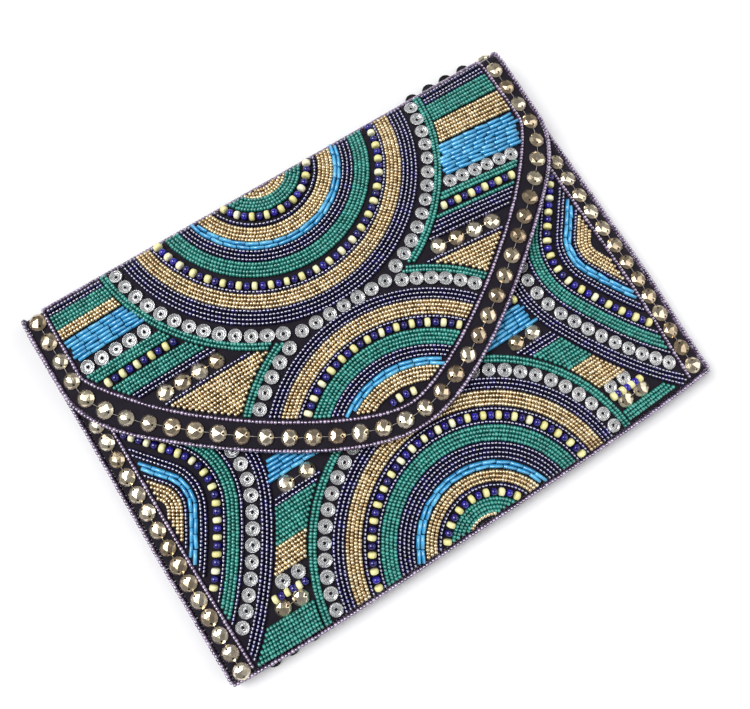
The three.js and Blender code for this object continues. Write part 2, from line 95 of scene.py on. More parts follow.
BACK_FACE = BACK_CLOTH_LOW[2]        # outer face of the back cloth
FRONT_FACE = FRONT_CLOTH_LOW[2] + CLOTH - SEAM_DEPTH
FLAP_FACE = FRONT_FACE + SNAP_GAP + 2 * LAYER_GAP + LINING + BOARD_THICKNESS + CLOTH
LOWER_CORNER_Z = BACK_FACE + CLOTH / 2 + FOLD_RADIUS
UPPER_CORNER_Z = FLAP_FACE + FOLD_DEPTH - CLOTH / 2 - FOLD_RADIUS
OUTER_RADIUS = FOLD_RADIUS + CLOTH / 2
CORNER_ARC = math.pi / 2 * OUTER_RADIUS
FOLD_FLAT = UPPER_CORNER_Z - LOWER_CORNER_Z
FOLD_LENGTH = 2 * CORNER_ARC + FOLD_FLAT
FOLD_MIDDLE = FOLD_START + FOLD_LENGTH / 2
BACK_START = FOLD_START + FOLD_LENGTH
BACK_END = BACK_START + FOLD_START - PANEL_BOTTOM

FLAP_HALF_WIDTH = 146.2
FLAP_TIP = -49.5
PIPING_HALF_WIDTH = 133.8
PIPING_TIP = -35.8
FRONT_PIPING = 134.3                 # half width between the front panel's side pipings
FRONT_STUDS = 139.9                  # half width between its rows of studs, and the back's rows of discs
LEAN = (-2.2, -1.5, 60.0, -10.0)     # the tip's offset in u and v, growing between two heights
EDGE_CLEAR = 2.1                     # the cloth stops this far inside the beads on the flap's edge

ROW = 2.05                           # seed bead row pitch
WIDE_ROW = 1.07                      # times that for bugles and navy seeds, which are thicker
PULL_START = 30.0                    # how far below the middle the drawing in of the corners starts
RIGHT_PULL, LEFT_PULL, UP_PULL = 2.6, 0.6, 3.0      # how far the bottom corners are drawn in


# ---- surfaces ----
def smoothstep(value, low, high):
    t = np.clip((value - low) / (high - low), 0, 1)
    return t * t * (3 - 2 * t)


def hollow(x, y):
    """The hollow's height between back and front: low at the seams, a flat-topped pillow inside."""
    across = np.minimum(np.abs(x) / PANEL_HALF_WIDTH, 1)
    middle = (PANEL_BOTTOM + FOLD_START) / 2
    along = np.minimum(np.abs(y - middle) / (FOLD_START - middle), 1)
    pillow = (1 - across**BULGE_POWER) * (1 - along**BULGE_POWER)
    rise = smoothstep(y, MOUTH_Y / 2, FOLD_START)
    return SEAM_DEPTH + (FOLD_DEPTH - SEAM_DEPTH) * rise + BULGE * pillow


def pulled(x, y):
    """The bottom corners drawn in a little, as sewn and stuffed panels are; more on the right."""
    corner = smoothstep(-y, PULL_START, -PANEL_BOTTOM)
    side = np.abs(x) / PANEL_HALF_WIDTH
    x = x - corner * side * np.where(x > 0, RIGHT_PULL, -LEFT_PULL)
    return x, y + corner * side**4 * UP_PULL + CENTRING


def front_surface(u, v):
    return np.stack([*pulled(u, v), FRONT_FACE + hollow(u, v)], -1)


def cover_surface(u, v):
    """Flap, fold and back, as one developed cloth."""
    u, v = np.broadcast_arrays(np.asarray(u, float), np.asarray(v, float))
    d = v - FOLD_START
    top = np.clip(d, 0, CORNER_ARC) / OUTER_RADIUS
    low = np.clip(d - CORNER_ARC - FOLD_FLAT, 0, CORNER_ARC) / OUTER_RADIUS
    flat = np.clip(d - CORNER_ARC, 0, FOLD_FLAT)
    y = np.minimum(v, FOLD_START) + OUTER_RADIUS * (np.sin(top) - 1 + np.cos(low))
    y = y - np.maximum(d - FOLD_LENGTH, 0)
    z = FLAP_FACE + FOLD_DEPTH - OUTER_RADIUS * (1 - np.cos(top)) - flat - OUTER_RADIUS * np.sin(low)
    on_flap = FLAP_FACE + hollow(u, np.minimum(v, FOLD_START))
    x, y = np.where(d < 0, [u, y + CENTRING], pulled(u, y))
    return np.stack([x, y, np.where(d < 0, on_flap, z)], -1)


def local_frames(surface, u, v, du, dv):
    """Points on a surface with their along-row, across-row and outward directions."""
    step = 0.05
    point = surface(u, v)
    side_u = surface(u + step, v) - surface(u - step, v)
    side_v = surface(u, v + step) - surface(u, v - step)
    normal = np.cross(side_u, side_v)
    normal /= np.linalg.norm(normal, axis=1, keepdims=True)
    along = side_u * du[:, None] + side_v * dv[:, None]
    along /= np.linalg.norm(along, axis=1, keepdims=True)
    across = np.cross(normal, along)
    return point, np.stack([along, across, normal], -1)


# ---- curves on the cloth, as fine polylines of (u, v) ----
NOSE_ENDS = math.radians(-27), math.radians(39.2)   # directions where a side medallion's nose ends
LEG_BACK = 170.0                     # from the nose's centre back to the centre of its lower leg's bend
LEG_SWEEP = 0.5                      # radians of that bend, enough to pass the seam
STRAIGHT_LEG = 150.0                 # length of the upper leg, enough to pass the seam


def circle(centre, radius, start=90):
    """A full ring; its ends meet at the start angle, which is chosen out of sight."""
    angle = np.linspace(0, 2 * math.pi, 361) + math.radians(start)
    return np.stack([centre[0] + radius * np.cos(angle), centre[1] + radius * np.sin(angle)], 1)


def side_curve(centre, radius, side):
    """A round nose pointing inwards, with a bent lower leg and a straight upper leg back to the seam."""
    low, high = NOSE_ENDS
    nose = np.linspace(low, high, 60)
    leg = np.linspace(low - LEG_SWEEP, low, 60)
    nose_points = radius * np.stack([np.cos(nose), np.sin(nose)], 1)
    leg_points = (radius + LEG_BACK) * np.stack([np.cos(leg), np.sin(leg)], 1)
    leg_points -= LEG_BACK * np.array([math.cos(low), math.sin(low)])
    last = nose_points[-1] + STRAIGHT_LEG * np.array([-math.sin(high), math.cos(high)])
    points = np.vstack([leg_points[:-1], nose_points, last]) * [-side, 1]
    return points + np.array(centre)


def side_distance(u, v, centre, side):
    """The radius of the side curve that passes through each point."""
    x, y = (u - centre[0]) * -side, v - centre[1]
    low, high = NOSE_ENDS
    direction = np.arctan2(y, x)
    angle = np.clip(direction, low, high)
    level = x * np.cos(angle) + y * np.sin(angle)
    bent = np.hypot(x + LEG_BACK * math.cos(low), y + LEG_BACK * math.sin(low)) - LEG_BACK
    return np.where(direction < low, bent, level)


def bezier(a, b, c, d, count):
    t = np.linspace(0, 1, count)[:, None]
    a, b, c, d = (np.array(p, float) for p in (a, b, c, d))
    return (1 - t)**3 * a + 3 * (1 - t)**2 * t * b + 3 * (1 - t) * t**2 * c + t**3 * d


def flap_half(width, shoulder, turn_a, turn_b, handle, lower, reach, tip):
    """The right half of a flap line: straight to its shoulder, round a turn, and in one sweep to the tip."""
    upper = bezier((width, shoulder), (width, shoulder - handle), turn_a, turn_b, 24)
    sweep = bezier(turn_b, lower, (reach, tip), (0, tip), 50)
    return np.vstack([upper, sweep[1:]])


OUTER_HALF = flap_half(
    FLAP_HALF_WIDTH, 60.6, (127.8, 24.7), (118.9, 17.2), handle=19.6, lower=(91.5, -6), reach=38.5,
    tip=FLAP_TIP)
PIPING_HALF = flap_half(
    PIPING_HALF_WIDTH, 62.8, (115.3, 36.1), (111.8, 32.3), handle=6.9, lower=(88.3, 7.3), reach=26.8,
    tip=PIPING_TIP)


def inset(half, distance):
    """Moves a half line inwards; the distance may be one number or one per point."""
    step = np.gradient(half, axis=0)
    step /= np.linalg.norm(step, axis=1, keepdims=True)
    step[-1] = (-1, 0)
    distance = np.broadcast_to(distance, len(half))[:, None]
    return half + distance * np.stack([step[:, 1], -step[:, 0]], 1)


def whole_line(half, top):
    """The flap line from the left side round the tip to the right side, with its off-centre tip."""
    side = np.vstack([[half[0][0], top], half])
    line = np.vstack([side[:-1] * [-1, 1], side[::-1]])
    share = 1 - smoothstep(line[:, 1], LEAN[3], LEAN[2])
    return line + share[:, None] * np.array(LEAN[:2])


def spaced(line, pitch, phase=0.0):
    """Even points along a polyline with their directions."""
    step = np.diff(line, axis=0)
    length = np.linalg.norm(step, axis=1)
    total = np.concatenate([[0], np.cumsum(length)])
    s = np.arange(phase % pitch, total[-1], pitch)
    k = np.clip(np.searchsorted(total, s, side="right") - 1, 0, len(step) - 1)
    direction = step[k] / length[k][:, None]
    return line[k] + direction * (s - total[k])[:, None], direction


def inside_polygon(points, polygon):
    x, y = points[:, 0], points[:, 1]
    hit = np.zeros(len(points), bool)
    for (x0, y0), (x1, y1) in zip(polygon, np.roll(polygon, -1, axis=0)):
        if y0 == y1:
            continue
        crosses = (y0 > y) != (y1 > y)
        hit ^= crosses & (x < (x1 - x0) * (y - y0) / (y1 - y0) + x0)
    return hit


# ---- bead templates: vertices, faces and a place in the unit square for each face corner ----
class Template:
    """One bead: flat means flat shading, and crest is 0 at the cloth and 1 along the bead's top, which masks
    the painted highlight.
    """

    def __init__(self, verts, faces, flat=False):
        self.verts = np.array(verts, float)
        self.loops = np.concatenate([np.array(f) for f in faces])
        self.sizes = np.array([len(f) for f in faces])
        self.flat = flat
        self.crest = np.clip(self.verts[:, 2] / self.verts[:, 2].max(), 0, 1)
        angle = np.arctan2(self.verts[:, 1], self.verts[:, 2]) / (2 * math.pi) + 0.5
        span = np.ptp(self.verts[:, 0]) or 1
        self.uv = np.stack([(self.verts[:, 0] - self.verts[:, 0].min()) / span, angle], 1)


def turned(profile, sides, axis="x", closed=False, flat=False, twist=0.0):
    """Turns a profile of (along, radius) pairs; an open profile is capped at both ends."""
    rings = len(profile)
    verts = []
    for k, (along, radius) in enumerate(profile):
        for i in range(sides):
            angle = 2 * math.pi * (i + k * twist) / sides
            a, b = radius * math.cos(angle), radius * math.sin(angle)
            verts.append((along, a, b) if axis == "x" else (a, b, along))
    faces = []
    for k in range(rings if closed else rings - 1):
        n = (k + 1) % rings
        for i in range(sides):
            j = (i + 1) % sides
            quad = (k * sides + i, n * sides + i, n * sides + j, k * sides + j)
            if twist:
                faces.append((quad[0], quad[1], quad[3]))
                faces.append((quad[1], quad[2], quad[3]))
            else:
                faces.append(quad)
    if not closed:
        faces.append(tuple(range(sides)))
        faces.append(tuple(range(rings * sides - 1, (rings - 1) * sides - 1, -1)))
    if axis == "x":
        faces = [tuple(reversed(f)) for f in faces]
    return Template(verts, [tuple(reversed(f)) for f in faces], flat)


def barrel(length, radius, sides, hole):
    """A seed bead: a short tube whose ends narrow to a share of its radius."""
    half = length / 2
    end = hole * radius
    return turned([(-half, end), (-0.5 * half, radius), (0.5 * half, radius), (half, end)], sides)


SEED = barrel(1.66, 1.06, 8, hole=0.6)
NAVY_SEED = barrel(1.85, 1.02, 8, hole=0.62)
FINE_SEED = barrel(1.72, 0.92, 8, hole=0.6)
YELLOW_BEAD = turned([(-1.45, 1.0), (-1.3, 1.75), (-0.8, 2.2), (0.8, 2.2), (1.3, 1.75), (1.45, 1.0)], 14)
COBALT_BEAD = turned([(-1.5, 0.8), (-1.3, 1.5), (-0.7, 1.95), (0.7, 1.95), (1.3, 1.5), (1.5, 0.8)], 14)
BUGLE = turned([(-3.6, 0.55), (-3.52, 1.02), (3.52, 1.02), (3.6, 0.55)], 8)
CUP = turned([(0.75, 0.85), (0.5, 1.4), (0.55, 2.4), (1.2, 3.15), (1.5, 3.5), (1.25, 3.7), (0.35, 3.1),
              (0.1, 0.85)], 20, axis="z", closed=True)
FLAT_CUP = turned([(0.3, 0.7), (0.5, 2.4), (1.2, 3.2), (1.0, 3.35), (0.2, 2.5), (0.1, 0.7)], 20,
                  axis="z", closed=True)
THREAD_PIECE = turned([(-0.5, 0.12), (0.5, 0.12)], 6)
SEWING_HOLE = (2.75, 0.55)           # its place from a stone's centre, and its radius
RING_TURN = 0.7                      # radians that each ring of a stone's corners turns past the one below


def stone_template(rings, sides):
    """A faceted round stone with a flat back and two sewing holes; its rings are (radius, height, count)."""
    shape = bmesh.new()
    for k, (radius, height, count) in enumerate(rings):
        for i in range(count):
            angle = 2 * math.pi * i / count + RING_TURN * k
            shape.verts.new((radius * MM * math.cos(angle), radius * MM * math.sin(angle), height * MM))
    bmesh.ops.convex_hull(shape, input=shape.verts)
    mesh = bpy.data.meshes.new("stone_template")
    shape.to_mesh(mesh)
    shape.free()
    stone = bpy.data.objects.new("stone_template", mesh)
    bpy.context.scene.collection.objects.link(stone)
    hole_x, hole_radius = SEWING_HOLE
    drill = turned([(-1.0, hole_radius), (5.0, hole_radius)], sides, axis="z")
    for side in (-1, 1):
        place = np.array([[side * hole_x, 0, 0]])
        cutter = mesh_object("drill", *joined(drill, place, np.eye(3)[None], np.ones(1)))
        cut = stone.modifiers.new("hole", "BOOLEAN")
        cut.object = cutter
        cut.solver = "EXACT"
        apply_modifiers(stone)
        bpy.data.objects.remove(cutter)
    verts = [np.array(v.co) / MM for v in stone.data.vertices]
    faces = [tuple(p.vertices) for p in stone.data.polygons]
    bpy.data.objects.remove(stone)
    return Template(verts, faces, flat=True)


def apply_modifiers(obj):
    """Leaves the object with its evaluated mesh and no modifiers."""
    bpy.context.view_layer.update()
    evaluated = obj.evaluated_get(bpy.context.evaluated_depsgraph_get())
    made = bpy.data.meshes.new_from_object(evaluated)
    obj.modifiers.clear()
    old = obj.data
    obj.data = made
    bpy.data.meshes.remove(old)


def joined(template, place, frames, scale):
    """Copies a template to every place; scale is one number per copy, or three."""
    scale = np.asarray(scale, float)
    scale = scale[:, None, None] if scale.ndim == 1 else scale[:, None, :]
    verts = place[:, None, :] + np.einsum("nij,nvj->nvi", frames, template.verts[None] * scale)
    count = len(place)
    loops = (template.loops[None] + len(template.verts) * np.arange(count)[:, None]).ravel()
    return verts.reshape(-1, 3), loops, np.tile(template.sizes, count)


def mesh_object(name, verts, loops, sizes, smooth=False):
    mesh = bpy.data.meshes.new(name)
    mesh.vertices.add(len(verts))
    mesh.vertices.foreach_set("co", (verts * MM).astype(np.float32).ravel())
    mesh.loops.add(len(loops))
    mesh.loops.foreach_set("vertex_index", loops.astype(np.int32))
    mesh.polygons.add(len(sizes))
    starts = np.concatenate([[0], np.cumsum(sizes)[:-1]])
    mesh.polygons.foreach_set("loop_start", starts.astype(np.int32))
    mesh.polygons.foreach_set("use_smooth", np.full(len(sizes), smooth))
    mesh.update(calc_edges=True)
    obj = bpy.data.objects.new(name, mesh)
    bpy.context.scene.collection.objects.link(obj)
    return obj


CELL_MARGIN = 0.1                    # of a bake cell, left clear on each side


def bead_object(name, template, place, frames, scale, material):
    """One mesh of many beads, with a tone per bead and a cell of the bake sheet per bead."""
    count = len(place)
    obj = mesh_object(name, *joined(template, place, frames, scale), smooth=not template.flat)
    mesh = obj.data
    tone = mesh.attributes.new("tone", "FLOAT", "POINT")
    tone.data.foreach_set("value", np.repeat(rng.random(count), len(template.verts)).astype(np.float32))
    # crest: each vertex's share of its bead's height, the mask for the painted highlight along the bead tops
    crest = mesh.attributes.new("crest", "FLOAT", "POINT")
    crest.data.foreach_set("value", np.tile(template.crest, count).astype(np.float32))
    columns = math.ceil(math.sqrt(count))
    cell = np.stack([np.arange(count) % columns, np.arange(count) // columns], 1)
    inner = (1 - 2 * CELL_MARGIN) * template.uv[template.loops]
    uv = (cell[:, None, :] + CELL_MARGIN + inner[None]) / columns
    layer = mesh.uv_layers.new(name="OFBake")
    layer.data.foreach_set("uv", uv.astype(np.float32).ravel())
    mesh.materials.append(material)
    return obj


# ---- materials ----
def new_material(name):
    material = bpy.data.materials.new(name)
    material.use_nodes = True
    tree = material.node_tree
    return material, tree, tree.nodes["Principled BSDF"]


def fill(tree, socket, value):
    """Links another node's output to the socket, or sets the socket's value."""
    if isinstance(value, bpy.types.NodeSocket):
        tree.links.new(value, socket)
    else:
        socket.default_value = value


def set_values(tree, target, **values):
    """Fills each input by its name, with _ for a space."""
    for key, value in values.items():
        fill(tree, target.inputs[key.replace("_", " ")], value)


def node(tree, kind, **values):
    """A new node; each value fills the input of that name, with _ for a space, or sets a property."""
    made = tree.nodes.new(kind)
    for key, value in values.items():
        title = key.replace("_", " ")
        if title in made.inputs:
            fill(tree, made.inputs[title], value)
        else:
            setattr(made, key, value)
    return made


def calculated(tree, operation, *operands):
    """The output of a math node; an operand is a number or another node's output."""
    made = node(tree, "ShaderNodeMath", operation=operation)
    for socket, operand in zip(made.inputs, operands):
        fill(tree, socket, operand)
    return made.outputs[0]


MIX_A, MIX_B, MIX_RESULT = 6, 7, 2   # the colour sockets of a mix node, whose names aren't unique


def mixed(tree, factor, color_a, color_b, **values):
    """The output of a colour mix node."""
    made = node(tree, "ShaderNodeMix", data_type="RGBA", Factor=factor, **values)
    fill(tree, made.inputs[MIX_A], color_a)
    fill(tree, made.inputs[MIX_B], color_b)
    return made.outputs[MIX_RESULT]


def add_bump(tree, bsdf, height, strength, distance):
    bump = node(tree, "ShaderNodeBump", Strength=strength, Distance=distance * MM, Height=height)
    tree.links.new(bump.outputs["Normal"], bsdf.inputs["Normal"])


def ramp(tree, factor, stops):
    """The output of a colour ramp with (position, colour) stops."""
    made = tree.nodes.new("ShaderNodeValToRGB")
    elements = made.color_ramp.elements
    while len(elements) < len(stops):
        elements.new(0.5)
    for element, (position, color) in zip(elements, stops):
        element.position = position
        element.color = (*color, 1)
    tree.links.new(factor, made.inputs["Fac"])
    return made.outputs["Color"]


PAINTED_HIGHLIGHT_START, PAINTED_HIGHLIGHT_FULL = 0.88, 0.97     # shares of a bead's height between which its painted highlight fades in


def painted_highlight(tree, color, crest):
    """A painted highlight: a light colour along each bead's top, seen along the line on its top, that stands
    in for the glint of the lamps; on the silver-lined beads it also stands for the lining's light core.
    """
    height = node(tree, "ShaderNodeAttribute", attribute_name="crest")
    share = node(tree, "ShaderNodeMapRange", interpolation_type="SMOOTHSTEP", From_Min=PAINTED_HIGHLIGHT_START,
                 From_Max=PAINTED_HIGHLIGHT_FULL, Value=height.outputs["Fac"])
    return mixed(tree, share.outputs["Result"], color, (*crest, 1))


def bead_material(name, stops, crest=None, **values):
    """Glass beads: a tone per bead picks its colour, with small lustre clouds and a painted highlight along
    its top over it.
    """
    material, tree, bsdf = new_material(name)
    tone = node(tree, "ShaderNodeAttribute", attribute_name="tone")
    place = node(tree, "ShaderNodeTexCoord")
    cloud = node(tree, "ShaderNodeTexNoise", Scale=700.0, Vector=place.outputs["Object"])
    shade = node(tree, "ShaderNodeMapRange", To_Min=0.75, To_Max=1.25, Value=cloud.outputs["Fac"])
    color = ramp(tree, tone.outputs["Fac"], stops)
    color = mixed(tree, 1.0, color, shade.outputs["Result"], blend_type="MULTIPLY")
    if crest:
        color = painted_highlight(tree, color, crest)
    set_values(tree, bsdf, Base_Color=color, **values)
    return material


# each crest colour is a painted highlight, painted along the bead tops in place of the lamps' glints
TEAL = bead_material(
    "teal_lustre_glass",
    [(0.0, (0.002, 0.13, 0.11)), (0.6, (0.01, 0.23, 0.19)), (1.0, (0.04, 0.36, 0.30))],
    crest=(0.16, 0.5, 0.42),
    Roughness=0.26, IOR=1.6, Coat_Weight=0.7, Coat_Roughness=0.12)
GOLD = bead_material(
    "gold_metal_glass",
    [(0.0, (0.42, 0.28, 0.13)), (0.5, (0.74, 0.56, 0.30)), (1.0, (0.96, 0.83, 0.57))],
    crest=(1.0, 0.9, 0.66),
    Metallic=0.8, Roughness=0.28, Coat_Weight=0.4, Coat_Roughness=0.1)
NAVY = bead_material(
    "navy_silver_lined_glass",
    [(0.0, (0.003, 0.002, 0.028)), (0.8, (0.009, 0.006, 0.075)), (1.0, (0.022, 0.016, 0.17))],
    crest=(0.86, 0.86, 0.95),
    Roughness=0.1, IOR=1.6, Coat_Weight=0.6, Coat_Roughness=0.05)
LILAC = bead_material(
    "lilac_clear_glass",
    [(0.0, (0.05, 0.025, 0.08)), (0.5, (0.15, 0.09, 0.20)), (1.0, (0.38, 0.30, 0.46))],
    crest=(0.88, 0.82, 0.95),
    Roughness=0.12, IOR=1.9, Coat_Weight=0.6, Coat_Roughness=0.05)
SKY = bead_material(
    "sky_silver_lined_glass",
    [(0.0, (0.015, 0.22, 0.50)), (0.6, (0.04, 0.36, 0.70)), (1.0, (0.11, 0.50, 0.82))],
    crest=(0.2, 0.6, 0.88),
    Roughness=0.22, Coat_Weight=0.7, Coat_Roughness=0.1)
YELLOW = bead_material(
    "cream_yellow_glass",
    [(0.0, (0.84, 0.78, 0.30)), (0.6, (0.93, 0.89, 0.46)), (1.0, (0.97, 0.95, 0.68))],
    Roughness=0.3, Coat_Weight=0.3, Coat_Roughness=0.15)
COBALT = bead_material(
    "cobalt_glass",
    [(0.0, (0.006, 0.002, 0.12)), (0.6, (0.012, 0.005, 0.22)), (1.0, (0.02, 0.012, 0.36))],
    Roughness=0.12, IOR=1.5, Coat_Weight=0.8, Coat_Roughness=0.05)
CLEAR = bead_material(
    "clear_acrylic",
    [(0.0, (0.90, 0.92, 0.93)), (1.0, (1.0, 1.0, 1.0))],
    Roughness=0.07, Transmission_Weight=0.78, IOR=1.55, Coat_Weight=0.5)
STONE = bead_material(
    "champagne_foiled_acrylic",
    [(0.0, (0.50, 0.38, 0.24)), (0.5, (0.74, 0.62, 0.43)), (1.0, (0.92, 0.83, 0.64))],
    Metallic=0.92, Roughness=0.2, Coat_Weight=0.8, Coat_Roughness=0.05)
# painted shade: the back's studs peek past the edges here and face the floor, so they get this near-black
# copy of the champagne stud colour
STUD_IN_PAINTED_SHADE = bead_material(
    "faceted_stud_painted_shade",
    [(0.0, (0.01, 0.009, 0.012)), (1.0, (0.03, 0.028, 0.035))],
    Metallic=0.5, Roughness=0.2, Coat_Weight=1.0, Coat_Roughness=0.05)


def cloth_material(name, dark, light, pitch, sheen=0.2, roughness=0.85, strength=0.5):
    """Plain weave: threads over and under at the given pitch, in the cloth's own plane, its colour darker
    between the threads as painted shade.
    """
    material, tree, bsdf = new_material(name)
    place = node(tree, "ShaderNodeTexCoord").outputs["Object"]
    split = node(tree, "ShaderNodeSeparateXYZ", Vector=place)
    rate = math.pi / (pitch * MM)
    turns = [calculated(tree, "MULTIPLY", split.outputs[axis], rate) for axis in ("X", "Y")]
    weave = calculated(tree, "MULTIPLY", *[calculated(tree, "SINE", turn) for turn in turns])
    height = node(tree, "ShaderNodeMapRange", From_Min=-1, Value=weave).outputs["Result"]
    noise = node(tree, "ShaderNodeTexNoise", Scale=180.0, Vector=place)
    # painted shade: the colour follows the weave's height, darker in the hollows between threads, times a
    # noise for random tone
    weave_shade_and_tone = calculated(tree, "MULTIPLY", height, noise.outputs["Fac"])
    add_bump(tree, bsdf, height, strength, 0.3)
    set_values(tree, bsdf, Base_Color=ramp(tree, weave_shade_and_tone, [(0.0, dark), (0.7, light)]), Roughness=roughness,
               Sheen_Weight=sheen, Specular_IOR_Level=0.25)
    return material


OUTER_CLOTH = cloth_material("near_black_weave", (0.003, 0.002, 0.005), (0.022, 0.015, 0.03), 0.5,
                             sheen=0.04)
SATIN = cloth_material("satin_lining", (0.006, 0.005, 0.011), (0.022, 0.02, 0.038), 0.25,
                       sheen=0.15, roughness=0.4, strength=0.15)


def fine_grain_material(name, dark, light, scale, **values):
    """Board, steel, magnet and thread: a fine grain in colour and height."""
    material, tree, bsdf = new_material(name)
    place = node(tree, "ShaderNodeTexCoord")
    noise = node(tree, "ShaderNodeTexNoise", Scale=scale, Detail=6.0, Vector=place.outputs["Object"])
    grain = noise.outputs["Fac"]
    add_bump(tree, bsdf, grain, 0.2, 0.1)
    set_values(tree, bsdf, Base_Color=ramp(tree, grain, [(0.3, dark), (0.7, light)]), **values)
    return material


BOARD = fine_grain_material("greyboard", (0.22, 0.20, 0.18), (0.34, 0.32, 0.29), 400.0, Roughness=0.9)
STEEL = fine_grain_material("snap_steel", (0.50, 0.49, 0.47), (0.66, 0.65, 0.63), 900.0,
                            Metallic=1.0, Roughness=0.28)
MAGNET = fine_grain_material("magnet_coating", (0.05, 0.05, 0.055), (0.09, 0.09, 0.095), 700.0,
                             Metallic=0.3, Roughness=0.55)
THREAD = fine_grain_material("clear_thread", (0.35, 0.33, 0.32), (0.50, 0.48, 0.46), 500.0, Roughness=0.3)


# ---- the pattern ----
TOP_CENTRE = (-3.7, 111.0)
CENTRE_CENTRE = (-4.8, -64.4)
BOTTOM_CENTRE = (-1.2, -119.2)
LEFT_CENTRE = (-136.0, -15.0)
RIGHT_CENTRE = (133.3, -18.2)
BACK_CENTRE = (-1.2, BACK_END + 12.2)
MEETING_V = 22.3                     # the cups shared by the top and centre medallions
MEETING_REACH = 29.0
FOLD_ROW = 104.2                     # the double lilac row along the fold

# each band: bead kind, first row's radius, number of rows
TOP_BANDS = (
    ("gold", 1.0, 8), ("teal", 16.8, 4), ("large", 27.5, 1), ("navy", 31.6, 1), ("gold", 34.2, 4),
    ("bugle", 42.3, 2), ("navy", 46.7, 3), ("teal", 53.4, 4), ("large", 65.3, 1), ("navy", 68.2, 1),
    ("gold", 70.2, 4), ("navy", 78.3, 4), ("cup", 91.2, 1), ("teal", 95.4, 2),
)
CENTRE_BANDS = (
    ("navy", 28.5, 1), ("large", 32.2, 1), ("gold", 36.8, 4), ("bugle", 44.8, 2), ("navy", 49.3, 3),
    ("teal", 55.6, 4), ("large", 65.5, 1), ("navy", 68.8, 1), ("gold", 70.8, 4), ("navy", 78.9, 3),
    ("cup", 89.1, 1), ("teal", 93.3, 2),
)
BOTTOM_BANDS = (
    ("gold", 1.0, 8), ("teal", 16.6, 4), ("large", 26.2, 1), ("navy", 29.6, 1), ("gold", 31.9, 3),
    ("bugle", 38.5, 2), ("navy", 43.4, 4), ("teal", 52.2, 4), ("large", 63.9, 1), ("navy", 60.6, 1),
    ("navy", 67.2, 1), ("gold", 69.6, 4), ("navy", 78.0, 3), ("cup", 86.8, 1), ("teal", 91.6, 2),
)
SIDE_BANDS = (
    ("gold", 6.6, 4), ("navy", 15.0, 1), ("bugle", 17.4, 2), ("navy", 22.4, 2), ("large", 30.4, 1),
    ("navy", 33.7, 1), ("teal", 35.9, 3), ("navy", 42.3, 1), ("cup", 47.5, 1), ("navy", 52.2, 3),
)
# each stripe: bead kind, first row's height, number of rows, downwards
FLAP_LEFT_STRIPES = (
    ("navy", 102.0, 3), ("teal", 95.8, 4), ("gold", 87.6, 3), ("bugle", 80.6, 6), ("cup", 64.1, 1),
    ("teal", 59.6, 3), ("large", 51.4, 1), ("teal", 47.6, 4), ("navy", 39.2, 2), ("stud", 31.9, 1),
    ("navy", 26.6, 1), ("gold", 24.4, 13),
)
FLAP_RIGHT_STRIPES = (
    ("navy", 102.5, 4), ("teal", 93.6, 5), ("gold", 82.6, 6), ("bugle", 69.4, 8), ("cup", 49.4, 1),
    ("teal", 44.6, 2), ("large", 38.1, 1), ("teal", 34.2, 1), ("navy", 32.0, 3), ("stud", 19.8, 1),
    ("navy", 25.0, 1), ("navy", 14.6, 1), ("gold", 12.4, 8),
)
FRONT_LEFT_STRIPES = (
    ("bugle", -23.5, 5), ("stud", -37.7, 1), ("navy", -41.6, 2), ("teal", -45.6, 8), ("gold", -61.9, 6),
    ("cup", -76.8, 1), ("close", -82.4, 1), ("stud", -88.2, 1), ("teal", -93.2, 7),
)
FRONT_RIGHT_STRIPES = (
    ("large", -20.0, 1), ("bugle", -24.0, 6), ("stud", -39.7, 1), ("navy", -44.4, 3), ("teal", -50.6, 8),
    ("gold", -67.0, 8), ("cup", -84.8, 1), ("close", -89.8, 1), ("stud", -94.8, 1), ("teal", -99.9, 4),
)
# the same, with distances from the back's start and away from the fold
BACK_STRIPES = (
    ("navy", -10.0, 5), ("teal", 1.2, 5), ("gold", 11.6, 5), ("bugle", 22.2, 6), ("teal", 35.4, 6),
    ("navy", 48.0, 3), ("gold", 54.8, 7), ("navy", 69.4, 3), ("teal", 76.2, 6), ("bugle", 88.8, 4),
    ("navy", 97.6, 3), ("teal", 104.4, 5), ("gold", 114.8, 6), ("navy", 127.4, 3), ("teal", 134.2, 7),
    ("gold", 148.8, 6), ("bugle", 161.4, 4), ("navy", 170.2, 3), ("teal", 177.0, 6), ("gold", 189.6, 5),
)

STUD = stone_template([(4.25, 0.1, 16), (4.42, 0.8, 16), (3.3, 2.2, 7), (1.5, 2.8, 3)], 8)
FLAT_STUD = stone_template([(4.1, 0.05, 16), (4.25, 0.5, 16), (3.0, 1.2, 7), (1.3, 1.5, 3)], 8)

# each kind: template, pitch along the row, lift of its middle over the cloth, half width kept clear.
# "large" and "close" rows are sewn as yellow and cobalt beads by turns.
KINDS = {
    "teal": (SEED, 1.72, 0.95, 0.7), "gold": (SEED, 1.72, 0.95, 0.7), "navy": (NAVY_SEED, 1.95, 0.95, 0.7),
    "lilac": (FINE_SEED, 1.85, 0.9, 0.0), "bugle": (BUGLE, 7.35, 0.95, 0.7), "large": (None, 4.05, 0, 1.6),
    "close": (None, 3.1, 0, 1.6), "yellow": (YELLOW_BEAD, 4.05, 2.05, 0),
    "cobalt": (COBALT_BEAD, 4.05, 1.85, 0), "cup": (CUP, 7.9, 0.1, 1.8), "stud": (STUD, 9.8, 0.1, 4.0),
    "disc": (FLAT_STUD, 10.5, 0.1, 0), "dark": (FLAT_STUD, 12.5, 0.1, 0),
    "thread": (THREAD_PIECE, 1, 0.75, 0),
}
